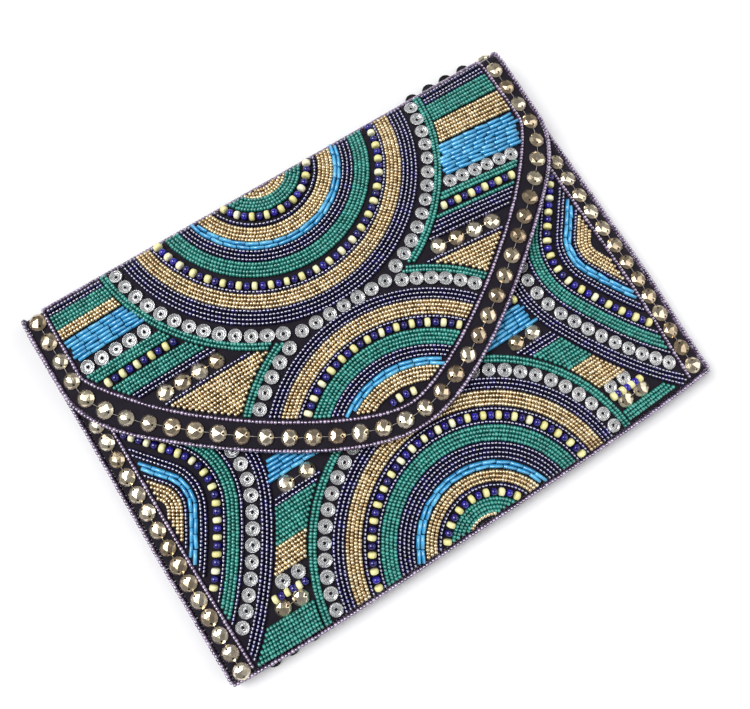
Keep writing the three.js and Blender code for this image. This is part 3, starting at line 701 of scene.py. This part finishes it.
# the template and lift of the kinds that are flatter under the purse, which lies on them
FLAT_KINDS = {"cup": (FLAT_CUP, 0.1), "yellow": (SEED, 0.95), "cobalt": (SEED, 0.95)}
SEED_KINDS = ("teal", "gold", "navy", "lilac")
LONGEST_STRETCH = 1.12               # of a bead's own pitch, to fill a row evenly
BUGLE_SHIFT = 0.25                   # of its pitch, the most that a row of bugles is shifted along
STUD_WIDTH = 8.0                     # between the ends of the threads on each side of a stud
beads = {}                           # (panel, kind) to tables of (u, v, du, dv, stretch, lift)


def runs(keep):
    """First and last index of each unbroken run of True."""
    edge = np.flatnonzero(np.diff(np.concatenate([[0], keep.astype(int), [0]])))
    return edge.reshape(-1, 2) - [0, 1]


def sew(panel, kind, line, mask, pitch=None, lift=0.0):
    """Sews one row along a line on a panel, filling each stretch that the mask leaves open."""
    _, own_pitch, _, reach = KINDS[kind]
    pitch = pitch or own_pitch
    step = 0.2
    place, direction = spaced(line, step)
    normal = np.stack([-direction[:, 1], direction[:, 0]], 1)
    keep = mask(place) & mask(place + reach * normal) & mask(place - reach * normal)
    for first, last in runs(keep):
        length = (last - first) * step
        count = int(round(length / pitch))
        if count == 0:
            continue
        middles = (np.arange(count) + 0.5) * length / count / step
        if kind == "bugle":
            middles += rng.uniform(-BUGLE_SHIFT, BUGLE_SHIFT) * length / count / step
        index = np.clip(first + middles.round().astype(int), first, last)
        stretch = np.full((count, 1), min(length / count / own_pitch, LONGEST_STRETCH))
        row = np.hstack([place[index], direction[index], stretch, np.full((count, 1), lift)])
        if kind == "stud" and count > 1:
            middle = (index[:-1] + index[1:]) // 2
            gap = np.full((count - 1, 1), length / count - STUD_WIDTH)
            thread = np.hstack([place[middle], direction[middle], gap, np.full((count - 1, 1), lift)])
            beads.setdefault((panel, "thread"), []).append(thread)
        if kind in ("large", "close"):
            beads.setdefault((panel, "yellow"), []).append(row[::2])
            beads.setdefault((panel, "cobalt"), []).append(row[1::2])
        else:
            beads.setdefault((panel, kind), []).append(row)


def each_row(bands, sign=1):
    """The bead kind of each row of the bands, with its radius or height."""
    for kind, first, count in bands:
        step = ROW * (WIDE_ROW if kind in ("bugle", "navy") else 1.0)
        for k in range(count):
            yield kind, first + sign * step * k


def from_centre(points, centre):
    return np.hypot(points[:, 0] - centre[0], points[:, 1] - centre[1])


# ---- regions of the cloth ----
FIELD_INSET = 1.6                    # from the piping to the beadwork inside it
FIELD_HALF_WIDTH = PIPING_HALF_WIDTH - FIELD_INSET
FOLD_ROW_CLEAR = 2.0                 # kept clear on each side of the fold's double row
BOTTOM_CLEAR = 0.4                   # kept clear over the front's bottom seam
SEAM_CLEAR = 1.0                     # where other rows end, short of the bottom seam
UNDER_FLAP = 6.0                     # how far the front's beadwork runs under the flap
PIPING_UNDER_FLAP = 5.0
STRIPE_END = 134.0                   # far enough out to pass every field's edge

# how far rows stay from the centre of a medallion that they meet
RING_CLEAR = 84.5                    # inside its ring of cups
OUTER_ROWS = 90.0                    # a medallion's teal rows past this radius lie outside its cups
CENTRE_OUTER_CLEAR = 97.3            # the top medallion's outer rows, from the centre medallion
TOP_OUTER_CLEAR = 95.2               # the centre medallion's outer rows, from the top medallion
SIDE_ROWS_CLEAR = 95.0               # the side medallions' rows, from the bottom medallion
TOP_FIELD_CLEAR = 98.6               # the stripes, from the top medallion, and so on
CENTRE_FIELD_CLEAR = 96.5
BOTTOM_FIELD_CLEAR = 95.2            # this one also for the back's lower medallion
SIDE_FIELD_CLEAR = 58.2              # measured as side_distance does

OUTER_LINE = whole_line(OUTER_HALF, FOLD_START)
FIELD_EDGE = whole_line(inset(PIPING_HALF, FIELD_INSET), FOLD_START)
FIELD_POLYGON = np.vstack([FIELD_EDGE, [[FIELD_HALF_WIDTH, BACK_END], [-FIELD_HALF_WIDTH, BACK_END]]])


def within_flap(points):
    return inside_polygon(points, FIELD_POLYGON)


def beside_flap(points, margin):
    """Front panel points that show, or lie less than the margin under the flap."""
    edge = np.interp(points[:, 0], OUTER_LINE[:, 0], OUTER_LINE[:, 1])
    return points[:, 1] < edge + margin


def within_front(points):
    inside = np.abs(points[:, 0]) < FRONT_PIPING - FIELD_INSET
    return inside & (points[:, 1] > PANEL_BOTTOM + BOTTOM_CLEAR) & beside_flap(points, UNDER_FLAP)


def stripe(height, tilt, u_from, u_to):
    """A straight row; its height is taken where u is 0, and a tilt lowers it towards the right."""
    return np.array([[u_from, height - tilt * u_from], [u_to, height - tilt * u_to]])


def upright(u, low, high):
    return np.array([[u, low], [u, high]])


def sew_flap_medallions():
    """The top medallion, carried on over the fold, and the centre one, joined by a short row of cups."""
    for kind, radius in each_row(TOP_BANDS):
        def top_mask(p):
            outer = kind == "teal" and radius > OUTER_ROWS
            clear = from_centre(p, CENTRE_CENTRE) > (CENTRE_OUTER_CLEAR if outer else RING_CLEAR)
            clear &= from_centre(p, BACK_CENTRE) > RING_CLEAR
            if kind == "cup":
                clear &= (np.abs(p[:, 0] - TOP_CENTRE[0]) > MEETING_REACH) | (p[:, 1] > TOP_CENTRE[1])
            return within_flap(p) & clear & (np.abs(p[:, 1] - FOLD_ROW) > FOLD_ROW_CLEAR)
        sew("cover", kind, circle(TOP_CENTRE, radius), top_mask)
    for kind, radius in each_row(CENTRE_BANDS):
        def centre_mask(p):
            outer = kind == "teal" and radius > OUTER_ROWS
            clear = from_centre(p, TOP_CENTRE) > (TOP_OUTER_CLEAR if outer else RING_CLEAR)
            if kind == "cup":
                clear &= np.abs(p[:, 0] - CENTRE_CENTRE[0]) > MEETING_REACH
            return within_flap(p) & clear & (p[:, 1] < FOLD_START)
        sew("cover", kind, circle(CENTRE_CENTRE, radius, -90), centre_mask)
    shared = stripe(MEETING_V, 0, TOP_CENTRE[0] - MEETING_REACH, TOP_CENTRE[0] + MEETING_REACH)
    sew("cover", "cup", shared, within_flap)


def sew_front_medallions():
    def side_mask(p):
        return within_front(p) & (from_centre(p, BOTTOM_CENTRE) > SIDE_ROWS_CLEAR)

    for kind, radius in each_row(BOTTOM_BANDS):
        sew("front", kind, circle(BOTTOM_CENTRE, radius, -90), within_front)
    for centre, side in ((LEFT_CENTRE, -1), (RIGHT_CENTRE, 1)):
        for kind, radius in each_row(SIDE_BANDS):
            sew("front", kind, side_curve(centre, radius, side), side_mask)


STEEPEST_TILT = 0.10                 # the flap's right stripes slope down outwards, more on the lower ones
TILT_TOP, TILT_BOTTOM = 103.0, 50.0
TILT_PIVOT = 92.0                    # the u at which a tilted stripe has its own height


def sew_stripes():
    def flap_field(p):
        clear = from_centre(p, TOP_CENTRE) > TOP_FIELD_CLEAR
        clear &= from_centre(p, CENTRE_CENTRE) > CENTRE_FIELD_CLEAR
        return within_flap(p) & clear & (p[:, 1] < FOLD_ROW - FOLD_ROW_CLEAR)

    def front_field(p):
        clear = from_centre(p, BOTTOM_CENTRE) > BOTTOM_FIELD_CLEAR
        clear &= side_distance(p[:, 0], p[:, 1], LEFT_CENTRE, -1) > SIDE_FIELD_CLEAR
        clear &= side_distance(p[:, 0], p[:, 1], RIGHT_CENTRE, 1) > SIDE_FIELD_CLEAR
        return within_front(p) & clear

    for kind, height in each_row(FLAP_LEFT_STRIPES, -1):
        sew("cover", kind, stripe(height, 0, -STRIPE_END, TOP_CENTRE[0]), flap_field)
    for kind, height in each_row(FLAP_RIGHT_STRIPES, -1):
        tilt = STEEPEST_TILT * smoothstep(-height, -TILT_TOP, -TILT_BOTTOM)
        sew("cover", kind, stripe(height + tilt * TILT_PIVOT, tilt, TOP_CENTRE[0], STRIPE_END), flap_field)
    for kind, height in each_row(FRONT_LEFT_STRIPES, -1):
        sew("front", kind, stripe(height, 0, -STRIPE_END, 0), front_field)
    for kind, height in each_row(FRONT_RIGHT_STRIPES, -1):
        sew("front", kind, stripe(height, 0, 0, STRIPE_END), front_field)


def everywhere(p):
    return np.ones(len(p), bool)


def on_back(p):
    inside = np.abs(p[:, 0]) < FIELD_HALF_WIDTH
    return inside & (p[:, 1] > FOLD_ROW + FOLD_ROW_CLEAR) & (p[:, 1] < BACK_END - SEAM_CLEAR)


def sew_back():
    """The back: a lower medallion and level stripes between it and the top medallion."""
    def field(p):
        clear = from_centre(p, TOP_CENTRE) > TOP_FIELD_CLEAR
        return on_back(p) & clear & (from_centre(p, BACK_CENTRE) > BOTTOM_FIELD_CLEAR)

    for kind, radius in each_row(BOTTOM_BANDS):
        sew("cover", kind, circle(BACK_CENTRE, radius), on_back)
    for kind, height in each_row(BACK_STRIPES):
        sew("cover", kind, stripe(BACK_START + height, 0, -STRIPE_END, STRIPE_END), field)


FLAP_STUD_INSET = 7.7                # from the flap's outer edge
FLAP_STUD_PITCH = 11.5
FLAP_STUD_ENDS = (5.5, 13.0)         # how far past the fold's start the row of studs runs, left and right
EDGE_BEAD_INSET = 1.05
FLAP_EDGE_LIFTS = (0.0, -1.75)       # two rows of beads, one under the other
FOLD_EDGE_LIFTS = (0.0, -1.7)
FOLD_EDGE = FLAP_HALF_WIDTH - EDGE_BEAD_INSET   # the rows of beads at each end of the fold
HALF_DOUBLE_ROW = 0.9
FIRST_DISC = 3.0                     # from the back's start
PIPING_TOP = 60.0                    # of the front's side pipings, out of sight under the flap
FRONT_STUD_ROWS = ((-1, 10.0, 43.2, -109.4), (1, 11.0, 38.2, -107.2))    # side, pitch, top and bottom
SEAM_EDGE = PANEL_HALF_WIDTH + 1.9   # the rows of beads round the side seams
SEAM_BOTTOM = PANEL_BOTTOM - 1.6     # and along the bottom seam
SEAM_ROWS = 4


def sew_cover_borders():
    """The flap's studs, edge beads and piping, carried on over the fold and down the back."""
    sew("cover", "lilac", whole_line(PIPING_HALF, FOLD_START), everywhere)
    edge = whole_line(inset(OUTER_HALF, EDGE_BEAD_INSET), FOLD_START)
    for lift in FLAP_EDGE_LIFTS:
        sew("cover", "lilac", edge, everywhere, lift=lift)
    for v in (FOLD_ROW - HALF_DOUBLE_ROW, FOLD_ROW + HALF_DOUBLE_ROW):
        sew("cover", "lilac", stripe(v, 0, -PIPING_HALF_WIDTH, PIPING_HALF_WIDTH), everywhere)
    for side in (-1, 1):
        piping = upright(side * PIPING_HALF_WIDTH, FOLD_START, BACK_END - SEAM_CLEAR)
        sew("cover", "lilac", piping, everywhere)
        for lift in FOLD_EDGE_LIFTS:
            sew("cover", "lilac", upright(side * FOLD_EDGE, FOLD_START, BACK_START), everywhere, lift=lift)
        discs = upright(side * FRONT_STUDS, BACK_START + FIRST_DISC, BACK_END - SEAM_CLEAR)
        sew("cover", "disc", discs, everywhere)
    left_end, right_end = FLAP_STUD_ENDS
    studs = whole_line(inset(OUTER_HALF, FLAP_STUD_INSET), FOLD_START + left_end)
    studs[-1, 1] = FOLD_START + right_end
    sew("cover", "stud", studs, everywhere, pitch=FLAP_STUD_PITCH)


def sew_front_borders():
    """The front's stud borders and pipings, and the beads round its three seams."""
    for side, pitch, top, bottom in FRONT_STUD_ROWS:
        sew("front", "stud", upright(side * FRONT_STUDS, top, bottom), everywhere, pitch=pitch)
        piping = upright(side * FRONT_PIPING, PIPING_TOP, PANEL_BOTTOM + SEAM_CLEAR)
        sew("front", "lilac", piping, lambda p: beside_flap(p, PIPING_UNDER_FLAP))
    for share in np.linspace(0, 1, SEAM_ROWS):
        for side in (-1, 1):
            line = upright(side * SEAM_EDGE, PANEL_BOTTOM - 1, FOLD_START - 0.5)
            sew(("seam", share), "lilac", line, everywhere)
        sew(("seam", share), "lilac", stripe(SEAM_BOTTOM, 0, -SEAM_EDGE, SEAM_EDGE), everywhere)


# the (u, y) of each dark disc at the back's edges: by the fold, and by the bottom seam; these are studs
# coloured near-black as painted shade
DARK_DISCS = ((94.7, 106.8), (106.2, 106.8), (117.2, 106.8), (129.1, 106.8),
              (-125.2, -107.6), (-115.2, -107.2), (-103.0, -106.8))
FOLD_DISC_Z, SEAM_DISC_Z = 3.5, 1.9
FOLD_DISC_V = BACK_START - 4.5
DISC_CLEAR = (4.9, 6.0)              # in u and v, kept clear of beads round a dark disc


def under_surface(u, v):
    """The purse's underside at its edges, facing down; here v is minus y, less CENTRING."""
    return np.stack([*pulled(u, -v), np.where(v < 0, FOLD_DISC_Z, SEAM_DISC_Z)], -1)


def clear_of_discs(points):
    """False where a dark disc takes the place of the beads."""
    keep = np.ones(len(points), bool)
    for u, y in DARK_DISCS:
        v = FOLD_DISC_V if y > 0 else BACK_END
        keep &= (np.abs(points[:, 0] - u) > DISC_CLEAR[0]) | (np.abs(points[:, 1] - v) > DISC_CLEAR[1])
    return keep


LOWEST_SEAM_ROW = BACK_FACE - 0.9


def seam_surface(share):
    """A row of the side seam's beading: 0 is the lowest row and 1 the highest."""
    def surface(u, v):
        level = LOWEST_SEAM_ROW + share * (FRONT_FACE - BACK_FACE)
        return np.stack([*pulled(u, v), level + share * hollow(np.full(len(u), PANEL_HALF_WIDTH), v)], -1)
    return surface


sew_flap_medallions()
sew_front_medallions()
sew_stripes()
sew_back()
sew_cover_borders()
sew_front_borders()

MATERIALS = {
    "teal": (TEAL, "teal_beads"), "gold": (GOLD, "gold_beads"), "navy": (NAVY, "navy_beads"),
    "lilac": (LILAC, "lilac_beads"), "bugle": (SKY, "bugle_beads"), "yellow": (YELLOW, "large_beads"),
    "cobalt": (COBALT, "large_beads"), "cup": (CLEAR, "clear_cups"), "stud": (STONE, "faceted_studs"),
    "disc": (STONE, "faceted_studs"), "dark": (STUD_IN_PAINTED_SHADE, "faceted_studs"),
    "thread": (THREAD, "clear_cups"),
}

# the unevenness of hand sewing, as standard deviations: across the row in mm, turned in radians, and in size
SEED_WOBBLE, WOBBLE = 0.05, 0.02
STUD_TURN, TURN = 0.15, 0.05
SIZE_SPREAD, LENGTH_SPREAD = 0.035, 0.02
SMALLEST, LARGEST = 0.9, 1.1
MEAN_LENGTH, SHORTEST, LONGEST = 0.98, 0.93, 1.03   # of the length that fills the row


def placed(surface, kind, table):
    """Points, frames and sizes for rows of places on a surface, with the small unevenness of hand sewing."""
    u, v, du, dv, stretch, lift = table.T
    point, frames = local_frames(surface, u, v, du, dv)
    count = len(u)
    wobble = rng.normal(0, SEED_WOBBLE if kind in SEED_KINDS else WOBBLE, count)
    height = KINDS[kind][2] + lift
    point = point + frames[:, :, 2] * height[:, None] + frames[:, :, 1] * wobble[:, None]
    turn = rng.normal(0, STUD_TURN if kind == "stud" else TURN, count)
    along = frames[:, :, 0] * np.cos(turn)[:, None] + frames[:, :, 1] * np.sin(turn)[:, None]
    across = np.cross(frames[:, :, 2], along)
    frames = np.stack([along, across, frames[:, :, 2]], -1)
    size = np.clip(rng.normal(1, SIZE_SPREAD, (count, 3)), SMALLEST, LARGEST)
    if kind == "thread":
        size = np.stack([stretch, np.ones(count), np.ones(count)], 1)
    if kind in SEED_KINDS or kind == "bugle":
        size[:, 0] = stretch * np.clip(rng.normal(MEAN_LENGTH, LENGTH_SPREAD, count), SHORTEST, LONGEST)
    return point, frames, size


def make_beads(name, surfaces, kind, tables, flat=False):
    """One mesh of beads from rows on one or more surfaces."""
    parts = [placed(surface, kind, np.vstack(rows)) for surface, rows in zip(surfaces, tables)]
    point, frames, size = (np.concatenate(p) for p in zip(*parts))
    template, _, lift, _ = KINDS[kind]
    if flat and kind in FLAT_KINDS:
        template, flat_lift = FLAT_KINDS[kind]
        point = point + frames[:, :, 2] * (flat_lift - lift)
    material, slot = MATERIALS[kind]
    return bead_object(name, template, point, frames, size, material)


BOUNDS = {                           # each part of the cover, with the stretch of v that it takes
    "flap": (-200, FOLD_START), "upper_fold": (FOLD_START, FOLD_MIDDLE),
    "lower_fold": (FOLD_MIDDLE, BACK_START), "back": (BACK_START, 999),
}


def fasten(obj, part):
    """Rides on the part's body; a part of the fold gets its transform baked into its mesh and rides on
    neither body.
    """
    if part == "upper_fold":
        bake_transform(obj)
    elif part == "lower_fold":
        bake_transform(obj)
    else:
        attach(obj, "flap" if part == "flap" else "body")
    return obj


# the CAD nodes that each mesh of beads stands for
REPLACED = {
    ("flap", "teal"): ("flap_stripes_left", "flap_stripes_right"),
    ("flap", "gold"): ("flap_medallion_top", "flap_medallion_centre"),
    ("flap", "stud"): ("flap_stud_border",), ("flap", "lilac"): ("flap_edge_beading",),
    ("front", "teal"): ("front_stripes_left", "front_stripes_right"),
    ("front", "gold"): ("front_medallion_bottom",),
    ("front", "navy"): ("front_medallion_left", "front_medallion_right"),
    ("front", "stud"): ("front_stud_border_left", "front_stud_border_right"),
    ("back", "teal"): ("back_stripes_left", "back_stripes_right"),
    ("back", "gold"): ("back_medallion_top", "back_medallion_bottom"),
    ("back", "disc"): ("back_border_left", "back_border_right"),
    ("upper_fold", "teal"): ("spine_beadwork",), ("lower_fold", "teal"): ("spine_beadwork",),
    ("upper_fold", "lilac"): ("spine_edge_beading_left", "spine_edge_beading_right"),
    ("lower_fold", "lilac"): ("spine_edge_beading_left", "spine_edge_beading_right"),
}

seam_rows = {key: tables for key, tables in beads.items() if key[0][0] == "seam"}
seams = make_beads("seam_beads", [seam_surface(key[0][1]) for key in seam_rows], "lilac", seam_rows.values())
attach(seams, "body")
disc_rows = np.array([(u, -y, 1, 0, 1, 0) for u, y in DARK_DISCS], float)
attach(make_beads("back_edge_discs", [under_surface], "dark", [[disc_rows]]), "body")
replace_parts(seams, "seam_beading_left", "seam_beading_right", "seam_beading_bottom")

for (panel, kind), tables in beads.items():
    if panel == "front":
        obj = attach(make_beads(f"front_{kind}_beads", [front_surface], kind, [tables]), "body")
        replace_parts(obj, *REPLACED.get((panel, kind), ()))
    elif panel == "cover":
        table = np.vstack(tables)
        for part, (low, high) in BOUNDS.items():
            here = (table[:, 1] >= low) & (table[:, 1] < high)
            flat = part in ("lower_fold", "back")
            if flat:
                here &= clear_of_discs(table)
            if here.any():
                obj = make_beads(f"{part}_{kind}_beads", [cover_surface], kind, [[table[here]]], flat)
                fasten(obj, part)
                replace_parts(obj, *REPLACED.get((part, kind), ()))


# ---- cloth ----
def open_sheet(name, points, smooth=False):
    """A sheet without thickness, from a grid of points."""
    down, across = points.shape[:2]
    index = np.arange(down * across).reshape(down, across)
    quads = np.stack([index[:-1, :-1], index[:-1, 1:], index[1:, 1:], index[1:, :-1]], -1).reshape(-1, 4)
    return mesh_object(name, points.reshape(-1, 3), quads.ravel(), np.full(len(quads), 4), smooth)


def grid_mesh(name, points, material, thickness):
    """A sheet from a grid of outer points, given thickness inwards as one closed skin."""
    obj = open_sheet(name, points, smooth=True)
    solid = obj.modifiers.new("thickness", "SOLIDIFY")
    solid.thickness = thickness * MM
    solid.offset = -1
    apply_modifiers(obj)
    obj.data.materials.append(material)
    return obj


def cloth_sheet(name, points, thickness=CLOTH):
    return grid_mesh(name, points, OUTER_CLOTH, thickness)


def satin_sheet(name, points):
    return grid_mesh(name, points, SATIN, LINING)


def sunk(surface, u, v, depth):
    """Points at a depth under a surface, square to it; depth may change from point to point."""
    flat_u, flat_v = u.ravel(), v.ravel()
    ones, zeros = np.ones(len(flat_u)), np.zeros(len(flat_u))
    point, frames = local_frames(surface, flat_u, flat_v, ones, zeros)
    depth = np.broadcast_to(depth, u.shape).ravel()
    return (point - frames[:, :, 2] * depth[:, None]).reshape(*u.shape, 3)


def cloth_part(name, surface, us, vs, depth, part, cad_node, make_sheet=cloth_sheet):
    """A cloth or lining in the place of a CAD node; its depth is a number or a function of u and v."""
    u, v = np.meshgrid(us, vs)
    if callable(depth):
        depth = depth(u, v)
    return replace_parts(fasten(make_sheet(name, sunk(surface, u, v, depth)), part), cad_node)


COLUMNS, FOLD_LINES, BACK_LINES, FRONT_LINES = 115, 14, 60, 78    # grid lines across and along the cloths
LINING_HALF_WIDTH = PANEL_HALF_WIDTH - 1
panel_u = np.linspace(-PANEL_HALF_WIDTH, PANEL_HALF_WIDTH, COLUMNS)
lining_u = np.linspace(-LINING_HALF_WIDTH, LINING_HALF_WIDTH, COLUMNS)
fold_u = panel_u * (FLAP_HALF_WIDTH - EDGE_CLEAR) / PANEL_HALF_WIDTH
upper_v = np.linspace(FOLD_START, FOLD_MIDDLE, FOLD_LINES)
lower_v = np.linspace(FOLD_MIDDLE, BACK_START, FOLD_LINES)
back_v = np.linspace(BACK_START, BACK_END, BACK_LINES)
front_v = np.linspace(PANEL_BOTTOM, MOUTH_Y, FRONT_LINES)
LINING_DEPTH = 2.1
FOLD_LINING_DEPTH = 1.0
LINING_RAMP = 3.5                    # the stretch of cloth over which one depth turns into the other
PUCKER, PUCKER_REACH = 0.12, 9.0     # depth of the puckers, and how far they reach from the side seams


def fold_lining_depth(u, v):
    """The fold's lining has no board behind it, so it runs closer to the cloth than on the panels."""
    end = np.minimum(v - FOLD_START, BACK_START - v)
    return LINING_DEPTH + (FOLD_LINING_DEPTH - LINING_DEPTH) * smoothstep(end, 0, LINING_RAMP)


def puckered(u, v):
    """Panel lining, drawn in a little where it's sewn at the sides."""
    edge = smoothstep(PANEL_HALF_WIDTH - np.abs(u), 0, PUCKER_REACH)
    return LINING_DEPTH + PUCKER * (1 - edge) * np.sin(v * 0.9) * np.sin(v * 0.23 + 1)


cloth_part("front_cloth", front_surface, panel_u, front_v, 0, "front", "front_outer_cloth")
cloth_part("front_lining_cloth", front_surface, lining_u, front_v, puckered, "front", "front_lining",
           satin_sheet)
for part, vs in (("upper_fold", upper_v), ("lower_fold", lower_v)):
    cloth_part(f"{part}_cloth", cover_surface, fold_u, vs, 0, part, "spine_outer_cloth")
cloth_part("back_cloth", cover_surface, panel_u, back_v, 0, "back", "back_outer_cloth")
for part, vs in (("upper_fold", upper_v), ("lower_fold", lower_v)):
    cloth_part(f"{part}_lining", cover_surface, lining_u, vs, fold_lining_depth, part, "spine_lining",
               satin_sheet)
cloth_part("back_lining_cloth", cover_surface, lining_u, back_v[:-1], puckered, "back", "back_lining",
           satin_sheet)


FLAP_LINES = 90                      # grid lines from the flap's tip to the fold, closer near the tip
FIRST_LINE, CROWDING = 0.012, 1.7


def between(half, count):
    """Rows of (u, v) across the flap from its tip to the fold, evenly spread between its two edges."""
    line = whole_line(half, FOLD_START)
    tip = half[-1][1] + LEAN[1]
    left, right = line[line[:, 0] < LEAN[0] - 0.01], line[line[:, 0] > LEAN[0] + 0.01]
    v = tip + (FOLD_START - tip) * np.linspace(FIRST_LINE, 1, FLAP_LINES)**CROWDING
    low = np.interp(v, left[::-1, 1], left[::-1, 0])
    high = np.interp(v, right[:, 1], right[:, 0])
    share = np.linspace(0, 1, count)[None]
    return low[:, None] * (1 - share) + high[:, None] * share, np.broadcast_to(v[:, None], (len(v), count))


FLAP_LINING_INSET = EDGE_CLEAR + 3.5
HEM = ((0.25, 0.0), (0.02, 0.25), (0.0, 0.9), (0.0, 1.6), (0.25, 2.0), (4.8, 2.05))   # inset and depth


def flap_hem():
    """The flap's cloth turned round its edge and under the board."""
    loops = []
    for distance, depth in HEM:
        line = whole_line(inset(OUTER_HALF, EDGE_CLEAR + distance), FOLD_START)
        loops.append(sunk(cover_surface, line[:, 0], line[:, 1], depth))
    return cloth_sheet("flap_hem", np.stack(loops[::-1]), thickness=0.2)


flap_u, flap_v = between(inset(OUTER_HALF, EDGE_CLEAR), 100)
flap_cloth = cloth_sheet("flap_cloth", sunk(cover_surface, flap_u, flap_v, 0))
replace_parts(fasten(flap_cloth, "flap"), "flap_outer_cloth")
fasten(flap_hem(), "flap")
flap_u, flap_v = between(inset(OUTER_HALF, FLAP_LINING_INSET), 80)
flap_lining = satin_sheet("flap_lining_cloth", sunk(cover_surface, flap_u, flap_v, LINING_DEPTH))
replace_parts(fasten(flap_lining, "flap"), "flap_lining")


BINDING_RADIUS = 1.25


def mouth_binding():
    """A rolled cloth binding along the front panel's free edge."""
    low, high = box_mm("front_mouth_binding")
    angle = np.linspace(0, 2 * math.pi, 15)
    u, turn = np.meshgrid(np.linspace(low[0], high[0], 100), angle)
    y = (low[1] + high[1]) / 2 + (high[1] - low[1]) / 2 * np.sin(turn)
    middle = FRONT_FACE - BINDING_RADIUS + hollow(u, np.full(u.shape, MOUTH_Y))
    z = middle + BINDING_RADIUS * np.cos(turn)
    return cloth_sheet("mouth_binding", np.stack([u, y, z], -1), thickness=0.35)


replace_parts(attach(mouth_binding(), "body"), "front_mouth_binding")


POCKET_LIFT, POCKET_WAVE, POCKET_TOP = 0.8, 0.25, 3.2    # the loose cloth's rise, its waves, and its limit


def slip_pocket():
    """A satin pocket sewn to the back lining on three sides, its loose cloth settled by simulation."""
    low, high = box_mm("slip_pocket")
    u, v = np.meshgrid(np.linspace(low[0], high[0], 63), np.linspace(low[1], high[1], 46))
    inside = np.minimum(high[0] - np.abs(u), v - low[1])
    z = high[2] + POCKET_LIFT * smoothstep(inside, 0, 20)
    z += POCKET_WAVE * np.sin(u * 0.21) * smoothstep(inside, 0, 15)
    points = np.stack([u, v, z], -1)
    points = settled(points, inside <= 0.01)
    points[..., 2] = np.clip(points[..., 2], high[2], high[2] + POCKET_TOP)
    return satin_sheet("slip_pocket_cloth", points)


SETTLING_FRAMES = 30


def settled(points, pinned):
    """Runs Blender's cloth on a grid whose cloth is cut a little larger than its frame."""
    obj = open_sheet("settling", points)
    group = obj.vertex_groups.new(name="sewn")
    group.add([int(i) for i in np.flatnonzero(pinned.ravel())], 1.0, "REPLACE")
    settings = obj.modifiers.new("cloth", "CLOTH").settings
    settings.vertex_group_mass = "sewn"
    settings.quality = 6
    settings.mass = 0.1
    settings.shrink_min = -0.03
    settings.bending_stiffness = 0.2
    settings.effector_weights.gravity = 0
    settings.use_pressure = True
    settings.uniform_pressure_force = 0.4
    for frame_number in range(1, SETTLING_FRAMES + 1):
        bpy.context.scene.frame_set(frame_number)
    apply_modifiers(obj)
    bpy.context.scene.frame_set(1)
    made = np.empty(points.size, np.float32)
    obj.data.vertices.foreach_get("co", made)
    bpy.data.objects.remove(obj)
    return made.reshape(points.shape).astype(float) / MM


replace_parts(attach(slip_pocket(), "body"), "slip_pocket")

# the boards and the snap's metal pieces show their CAD solids
for name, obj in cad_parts.items():
    if not obj.hide_render:
        finish = BOARD if "stiffener" in name else MAGNET if "magnet" in name else STEEL
        obj.data.materials.clear()
        obj.data.materials.append(finish)

# ---- stage, light and camera ----
FLOOR_CORNERS = 3000.0 * np.array([[-1, -1, 0], [1, -1, 0], [1, 1, 0], [-1, 1, 0]])
floor = mesh_object("floor", FLOOR_CORNERS, np.arange(4), np.array([4]))
floor_material, floor_tree, floor_bsdf = new_material("pale_floor")
set_values(floor_tree, floor_bsdf, Base_Color=(0.90, 0.90, 0.905, 1), Roughness=0.6)
floor.data.materials.append(floor_material)
floor.location.z = -0.0002


def soft_light(name, direction, width, strength):
    """A wide soft source, far away, shining from a direction; width is how many degrees of sky it covers."""
    light = bpy.data.lights.new(name, "SUN")
    light.angle = math.radians(width)
    light.energy = strength
    obj = bpy.data.objects.new(name, light)
    obj.rotation_euler = Vector(direction).to_track_quat("Z", "Y").to_euler()
    bpy.context.scene.collection.objects.link(obj)


def studio_world():
    """Dim surroundings with a brighter band at the horizon, and a near-white backdrop for the camera."""
    world = bpy.data.worlds.new("studio")
    world.use_nodes = True
    tree = world.node_tree
    background = tree.nodes["Background"]
    place = node(tree, "ShaderNodeTexCoord")
    split = node(tree, "ShaderNodeSeparateXYZ", Vector=place.outputs["Generated"])
    stops = [(0.0, (0.9, 0.9, 0.9)), (0.35, (0.5, 0.5, 0.5)), (1.0, (0.18, 0.18, 0.2))]
    set_values(tree, background, Color=ramp(tree, split.outputs["Z"], stops), Strength=0.5)
    backdrop = node(tree, "ShaderNodeBackground", Color=(0.975, 0.975, 0.98, 1))
    seen = node(tree, "ShaderNodeLightPath")
    mix = node(tree, "ShaderNodeMixShader", Fac=seen.outputs["Is Camera Ray"])
    tree.links.new(background.outputs["Background"], mix.inputs[1])
    tree.links.new(backdrop.outputs["Background"], mix.inputs[2])
    tree.links.new(mix.outputs["Shader"], tree.nodes["World Output"].inputs["Surface"])
    bpy.context.scene.world = world


soft_light("key", (-0.45, 0.4, 0.95), 42, 3.0)
soft_light("fill", (0.7, -0.4, 0.8), 50, 0.9)
studio_world()
bpy.context.scene.view_settings.view_transform = "Standard"

camera_data = bpy.data.cameras.new("camera")
camera_data.lens = 38
camera_data.sensor_width = 36
camera = bpy.data.objects.new("camera", camera_data)
camera.location = (-0.05751, -0.05792, 0.41288)
camera.rotation_euler = tuple(math.radians(a) for a in (10.646, -2.491, -32.444))
bpy.context.scene.collection.objects.link(camera)
bpy.context.scene.camera = camera
